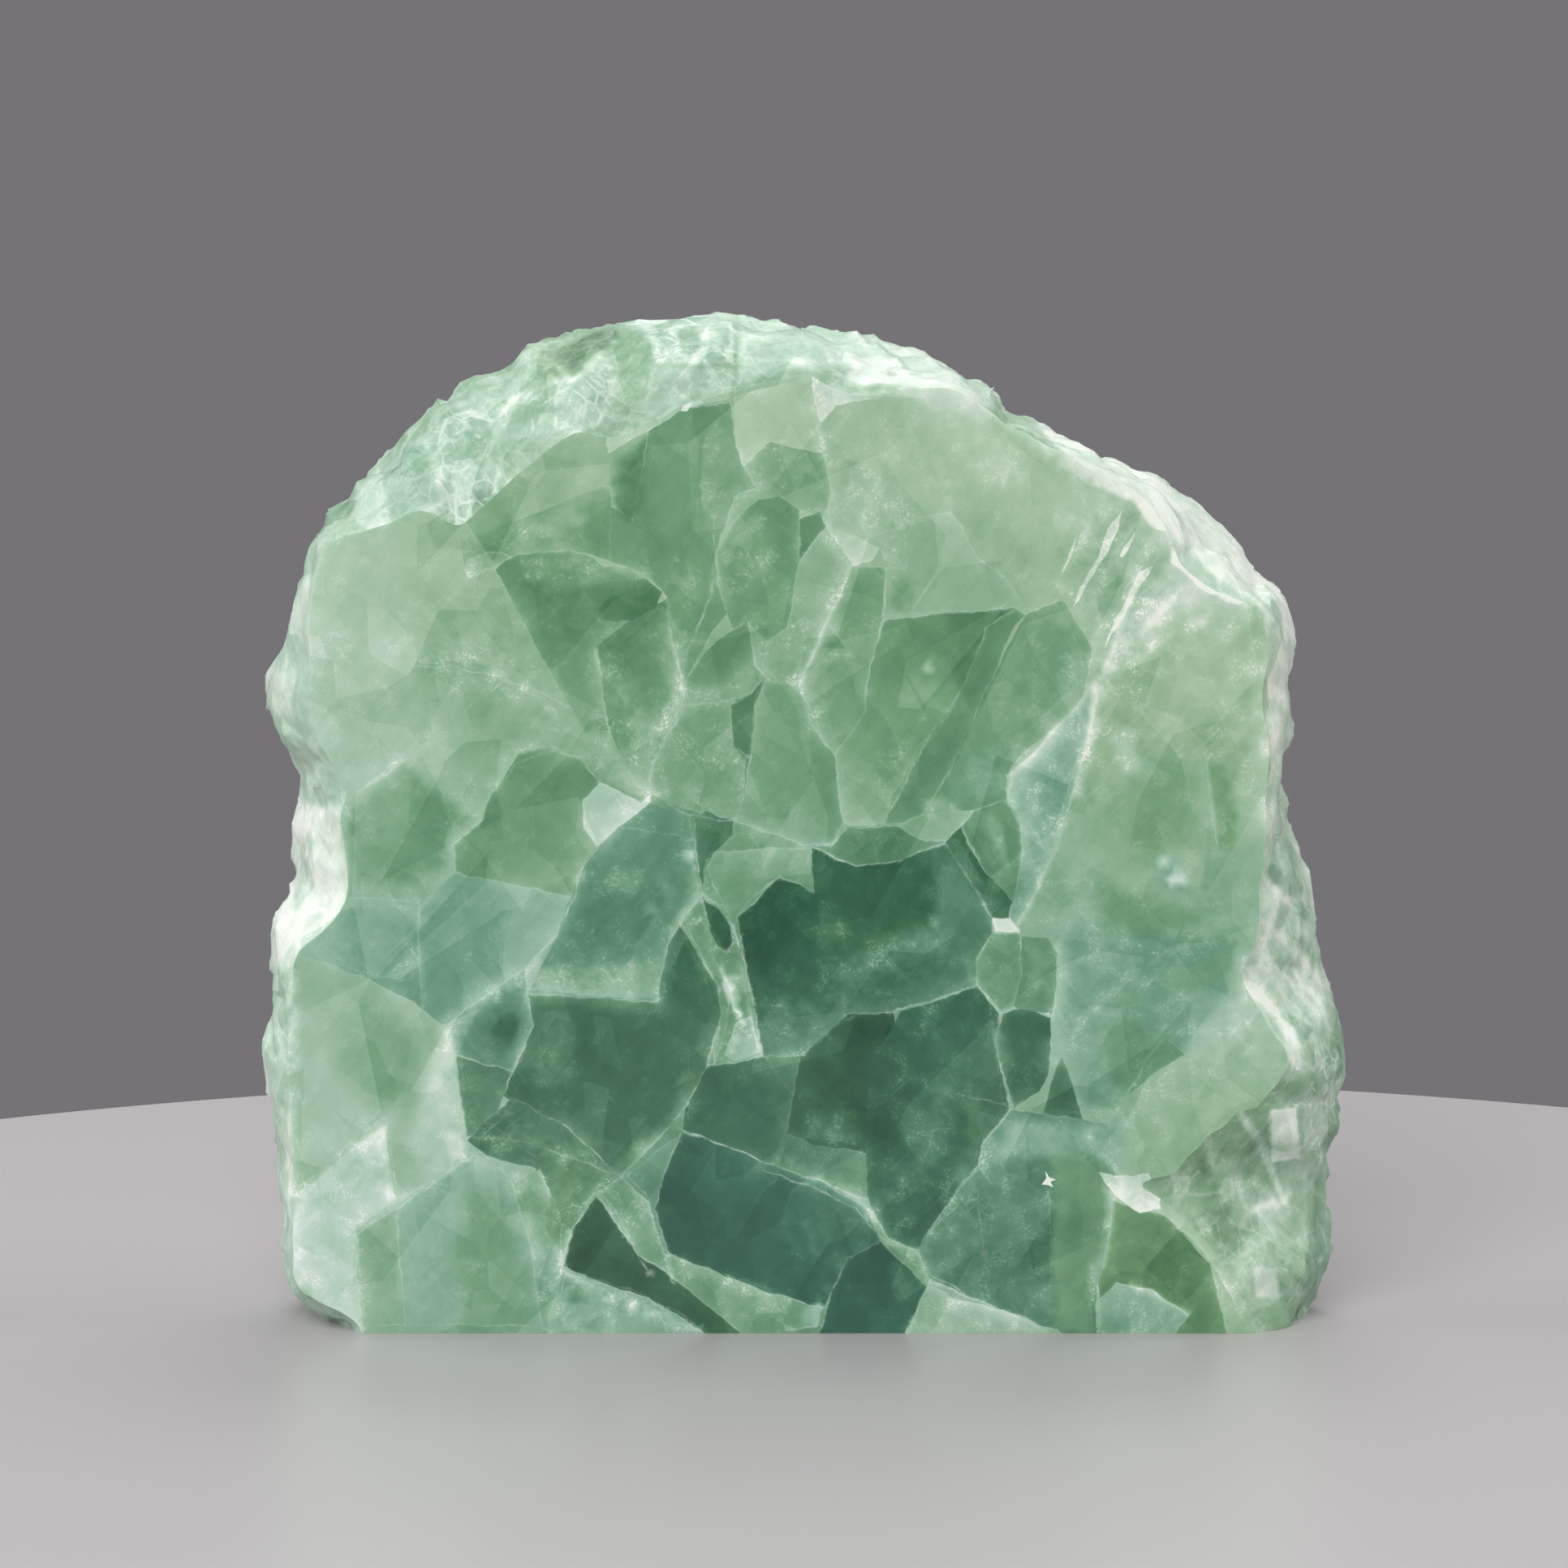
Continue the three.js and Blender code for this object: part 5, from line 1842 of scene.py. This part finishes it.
# %% Brightness of the seams
HALO = 0.05
HALO_WIDTH = 0.6
SIDE_PARTS = 8

side_tree = KDTree(len(border_starts) * (SIDE_PARTS + 1))
for number, (start, end) in enumerate(zip(border_starts, border_ends)):
    for part in range(SIDE_PARTS + 1):
        x, z = start + (end - start) * part / SIDE_PARTS
        side_tree.insert((x, z, 0), number)
side_tree.balance()
seams = np.zeros(len(mesh.vertices))
for number in np.unique(corner_point[polished]):
    x, y, z = point_places[number] / MM
    for place, side, gap in side_tree.find_range((x, z, 0), HALO_WIDTH):
        crisp = max(0, 1 - gap / SEAM_WIDTH)
        halo = HALO * (1 - gap / HALO_WIDTH)
        seams[number] = max(seams[number], border_strength[side] * max(crisp, halo))
seam_mark = mesh.attributes.new("seam", "FLOAT", "POINT")
seam_mark.data.foreach_set("value", seams)
print("seams on", int((seams > 0).sum()), "points")

# %% [markdown]
# ## The material
# One material covers the stone. Tone picks a colour from a ramp, of which there is a cool one and a
# warm one. Clouds, silky streaks, dust and flecks vary the tone before the colour is picked. Seams, and
# the cracks of the crumpled rind, go over the top in a pale mint. The polished parts are glossy, the
# rind is silky, and a part of the light passes through the stone.

# %% Node helpers
SCREEN_GAMMA = 2.2

fluorite = bpy.data.materials.new("green_fluorite")
fluorite.use_nodes = True
tree = fluorite.node_tree
shader = tree.nodes["Principled BSDF"]


def add(kind, **settings):
    node = tree.nodes.new(kind)
    for name, value in settings.items():
        setattr(node, name, value)
    return node


def plug(value, socket):
    """Links an output to a socket, or writes a plain number or colour on it."""
    if isinstance(value, bpy.types.NodeSocket):
        tree.links.new(value, socket)
    else:
        socket.default_value = value


def maths(operation, first, second=0.0, third=0.0, clamp=False):
    node = add("ShaderNodeMath", operation=operation, use_clamp=clamp)
    plug(first, node.inputs[0])
    plug(second, node.inputs[1])
    plug(third, node.inputs[2])
    return node.outputs[0]


def stored(name):
    return add("ShaderNodeAttribute", attribute_name=name).outputs["Fac"]


def ramp(value, stops):
    """A colour ramp of (position, red, green, blue) stops with screen colours from 0 to 255."""
    node = add("ShaderNodeValToRGB")
    plug(value, node.inputs[0])
    elements = node.color_ramp.elements
    while len(elements) < len(stops):
        elements.new(0.5)
    for element, (position, *screen) in zip(elements, stops):
        element.position = position
        element.color = (*[(channel / 255) ** SCREEN_GAMMA for channel in screen], 1)
    return node.outputs[0]


def window(value, low, high):
    """0 below low, 1 above high, and a smooth rise between."""
    node = add("ShaderNodeMapRange", interpolation_type="SMOOTHSTEP")
    plug(value, node.inputs["Value"])
    plug(low, node.inputs["From Min"])
    plug(high, node.inputs["From Max"])
    return node.outputs["Result"]


def mixed(share, first, second):
    node = add("ShaderNodeMix", data_type="RGBA")
    plug(share, node.inputs[0])
    plug(first, node.inputs[6])
    plug(second, node.inputs[7])
    return node.outputs[2]


# %% Patterns, all in millimetres of the stone
coordinates = add("ShaderNodeTexCoord").outputs["Object"]
to_mm = add("ShaderNodeVectorMath", operation="SCALE")
plug(coordinates, to_mm.inputs[0])
plug(1000.0, to_mm.inputs["Scale"])
places = to_mm.outputs[0]


def noise(size, detail=3.0, roughness=0.55, stretch=(1, 1, 1), turn=(0, 0, 0)):
    """Noise whose features are about size mm, drawn out along its own axes by stretch."""
    mapping = add("ShaderNodeMapping", vector_type="TEXTURE")
    plug(places, mapping.inputs["Vector"])
    mapping.inputs["Rotation"].default_value = turn
    mapping.inputs["Scale"].default_value = stretch
    node = add("ShaderNodeTexNoise")
    plug(mapping.outputs[0], node.inputs["Vector"])
    plug(1 / size, node.inputs["Scale"])
    plug(detail, node.inputs["Detail"])
    plug(roughness, node.inputs["Roughness"])
    return node.outputs["Fac"]


def cells(size, feature, stretch=(1, 1, 1), turn=(0, 0, 0)):
    """Voronoi cells of about size mm."""
    mapping = add("ShaderNodeMapping", vector_type="TEXTURE")
    plug(places, mapping.inputs["Vector"])
    mapping.inputs["Rotation"].default_value = turn
    mapping.inputs["Scale"].default_value = stretch
    node = add("ShaderNodeTexVoronoi", feature=feature)
    plug(mapping.outputs[0], node.inputs["Vector"])
    plug(1 / size, node.inputs["Scale"])
    return node


def random_of(node):
    split = add("ShaderNodeSeparateColor")
    plug(node.outputs["Color"], split.inputs[0])
    return split.outputs[0]


tone = stored("tone")
warmth = stored("warmth")
cloud = stored("cloud")
sparkle = stored("sparkle")
seam = stored("seam")
rind = stored("rind")
ridge = stored("ridge")

billows = noise(7.0, detail=6.0, roughness=0.62)
wisps = noise(2.2, detail=4.0, roughness=0.6)
silk = noise(1.1, detail=3.0, stretch=(1, 1, 6), turn=(0, math.radians(38), 0))
grit = noise(0.26, detail=1.0)
specks = noise(0.4, detail=3.0, roughness=0.75)
print("patterns ready")

# %% Tone with its clouds, silk and dust
BILLOW_SHARE = 0.32
WISP_SHARE = (0.17, 0.04)
SILK_SHARE = (0.16, 0.08)
DUST_SHARE = 0.12

billow_share = maths("MULTIPLY", maths("SUBTRACT", billows, 0.5), maths("MULTIPLY", cloud, BILLOW_SHARE))
wisp_share = maths("MULTIPLY", maths("SUBTRACT", wisps, 0.5), maths("MULTIPLY_ADD", cloud, *WISP_SHARE))
silk_share = maths("MULTIPLY", maths("SUBTRACT", silk, 0.5), maths("MULTIPLY_ADD", rind, *SILK_SHARE))
dust = maths("MULTIPLY", window(wisps, 0.50, 0.68), window(grit, 0.48, 0.66))
dust_share = maths("MULTIPLY", dust, maths("MULTIPLY", cloud, DUST_SHARE))
varied = maths("ADD", maths("ADD", tone, billow_share), maths("ADD", wisp_share, silk_share))
varied = maths("ADD", varied, dust_share)

# %% Cleavage planes, scratches, cracks and flecks
TILT_LEFT = (0, math.radians(40), 0)
TILT_RIGHT = (0, math.radians(-32), 0)
TILT_STEEP = (0, math.radians(48), 0)
TILT_FLAT = (0, math.radians(-78), 0)
PLANE_SHARE = (0.07, 0.09)
FINE_SHARE = (0.20, 0.06)
SCRATCH_SHARE = (0.05, 0.01)
FLECK_SHARE = 0.22

planes = maths("SUBTRACT", random_of(cells(6.5, "F1", (1, 1, 1.8), TILT_LEFT)), 0.5)
fine_planes = maths("SUBTRACT", random_of(cells(2.6, "F1", (1, 1, 2.2), TILT_RIGHT)), 0.5)
plane_share = maths("MULTIPLY", planes, maths("MULTIPLY_ADD", rind, *PLANE_SHARE))
crumple = maths("MULTIPLY", rind, sparkle)
fine_share = maths("MULTIPLY", fine_planes, maths("MULTIPLY_ADD", crumple, *FINE_SHARE))
varied = maths("ADD", varied, maths("ADD", plane_share, fine_share))

scratch_one = window(noise(0.42, detail=2.0, stretch=(1, 1, 16), turn=TILT_RIGHT), 0.62, 0.74)
scratch_two = window(noise(0.38, detail=2.0, stretch=(1, 1, 14), turn=TILT_STEEP), 0.62, 0.74)
scratch_three = noise(0.45, detail=2.0, stretch=(1, 1, 16), turn=TILT_FLAT)
scratch_three = window(scratch_three, 0.63, 0.74)
scratched = maths("MULTIPLY", scratch_one, window(billows, 0.48, 0.58))
scratched = maths("ADD", scratched, maths("MULTIPLY", scratch_two, window(billows, 0.52, 0.42)))
scratched = maths("ADD", scratched, maths("MULTIPLY", scratch_three, window(wisps, 0.52, 0.60)))
varied = maths("ADD", varied, maths("MULTIPLY", scratched, maths("MULTIPLY_ADD", cloud, *SCRATCH_SHARE)))
web = cells(3.4, "DISTANCE_TO_EDGE", (1, 1, 1.6), TILT_LEFT).outputs["Distance"]
fine_web = cells(1.5, "DISTANCE_TO_EDGE", (1, 1, 2.0), TILT_RIGHT).outputs["Distance"]
crack = maths("MULTIPLY", window(web, 0.07, 0.01), window(wisps, 0.42, 0.60))
fine_crack = maths("MULTIPLY", window(fine_web, 0.09, 0.02), window(billows, 0.42, 0.58))
cracks = maths("MULTIPLY", crumple, maths("MAXIMUM", crack, fine_crack))

bright_fleck = window(specks, 0.53, 0.70)
fleck_patch = maths("MULTIPLY", sparkle, window(wisps, 0.44, 0.58))
fleck_share = maths("MULTIPLY", maths("MULTIPLY", bright_fleck, fleck_patch), FLECK_SHARE)
varied = maths("ADD", varied, fleck_share, clamp=True)

# %% Colour
COOL = [
    (0.0, 24, 74, 62),
    (0.25, 60, 113, 95),
    (0.5, 108, 157, 136),
    (0.75, 168, 202, 185),
    (0.88, 203, 221, 211),
    (1.0, 232, 241, 235),
]
WARM = [
    (0.0, 32, 78, 46),
    (0.25, 74, 122, 80),
    (0.5, 122, 163, 119),
    (0.75, 178, 204, 174),
    (0.88, 211, 224, 206),
    (1.0, 239, 242, 229),
]
SEAM_COLOUR = (0.58, 0.74, 0.66, 1)
CHALK_COLOUR = (0.45, 0.53, 0.46, 1)
CRACK_COLOUR = (0.78, 0.87, 0.82, 1)
RIDGE_SHARE = 0.25
CHALK_SHARE = 0.16
CRACK_SHARE = 0.62

warm_share = maths("MULTIPLY_ADD", warmth, 0.5, 0.5)
body = mixed(warm_share, ramp(varied, COOL), ramp(varied, WARM))
break_up = window(noise(1.3, detail=4.0, roughness=0.7), 0.38, 0.64)
long_break = window(noise(6.0, detail=1.0), 0.44, 0.58)
short_breaks = maths("MULTIPLY_ADD", break_up, 0.8, 0.2)
broken = maths("MULTIPLY", short_breaks, maths("MULTIPLY_ADD", long_break, 0.6, 0.4))
seam_share = maths("MULTIPLY", seam, broken, clamp=True)
ridge_share = maths("MULTIPLY", maths("MULTIPLY", ridge, rind), RIDGE_SHARE)
lines_share = maths("MAXIMUM", seam_share, ridge_share)
chalk = mixed(maths("MULTIPLY", rind, CHALK_SHARE), body, CHALK_COLOUR)
seamed = mixed(lines_share, chalk, SEAM_COLOUR)
colour = mixed(maths("MULTIPLY", cracks, CRACK_SHARE), seamed, CRACK_COLOUR)
plug(colour, shader.inputs["Base Color"])

# %% Gloss, relief and light inside
POLISH = 0.14
RIND_DULLER = 0.26
FLUORITE_IOR = 1.434
CLEAR_SHARE = 0.22
GLOW_SHARE = 0.35
GLOW_REACH = 1.6 * MM
GLOW_BY_COLOUR = (0.6, 1.0, 0.8)
CHIP_STRENGTH = 0.55
CHIP_HEIGHT = 0.25 * MM

plug(maths("MULTIPLY_ADD", rind, RIND_DULLER, POLISH), shader.inputs["Roughness"])
shader.inputs["IOR"].default_value = FLUORITE_IOR
clear = window(varied, 0.55, 0.10)
plug(maths("MULTIPLY", clear, CLEAR_SHARE), shader.inputs["Transmission Weight"])
shader.inputs["Subsurface Weight"].default_value = GLOW_SHARE
shader.inputs["Subsurface Radius"].default_value = GLOW_BY_COLOUR
shader.inputs["Subsurface Scale"].default_value = GLOW_REACH
chips = noise(0.55, detail=4.0, roughness=0.65, stretch=(1, 1, 4.0), turn=TILT_RIGHT)
bump = add("ShaderNodeBump")
plug(maths("MULTIPLY", rind, CHIP_STRENGTH), bump.inputs["Strength"])
plug(CHIP_HEIGHT, bump.inputs["Distance"])
plug(chips, bump.inputs["Height"])
plug(bump.outputs[0], shader.inputs["Normal"])
mesh.materials.append(fluorite)
print("material", len(tree.nodes), "nodes")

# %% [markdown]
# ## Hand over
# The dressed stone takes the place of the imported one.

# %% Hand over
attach(stone, "root")
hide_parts(STONE_NODE)
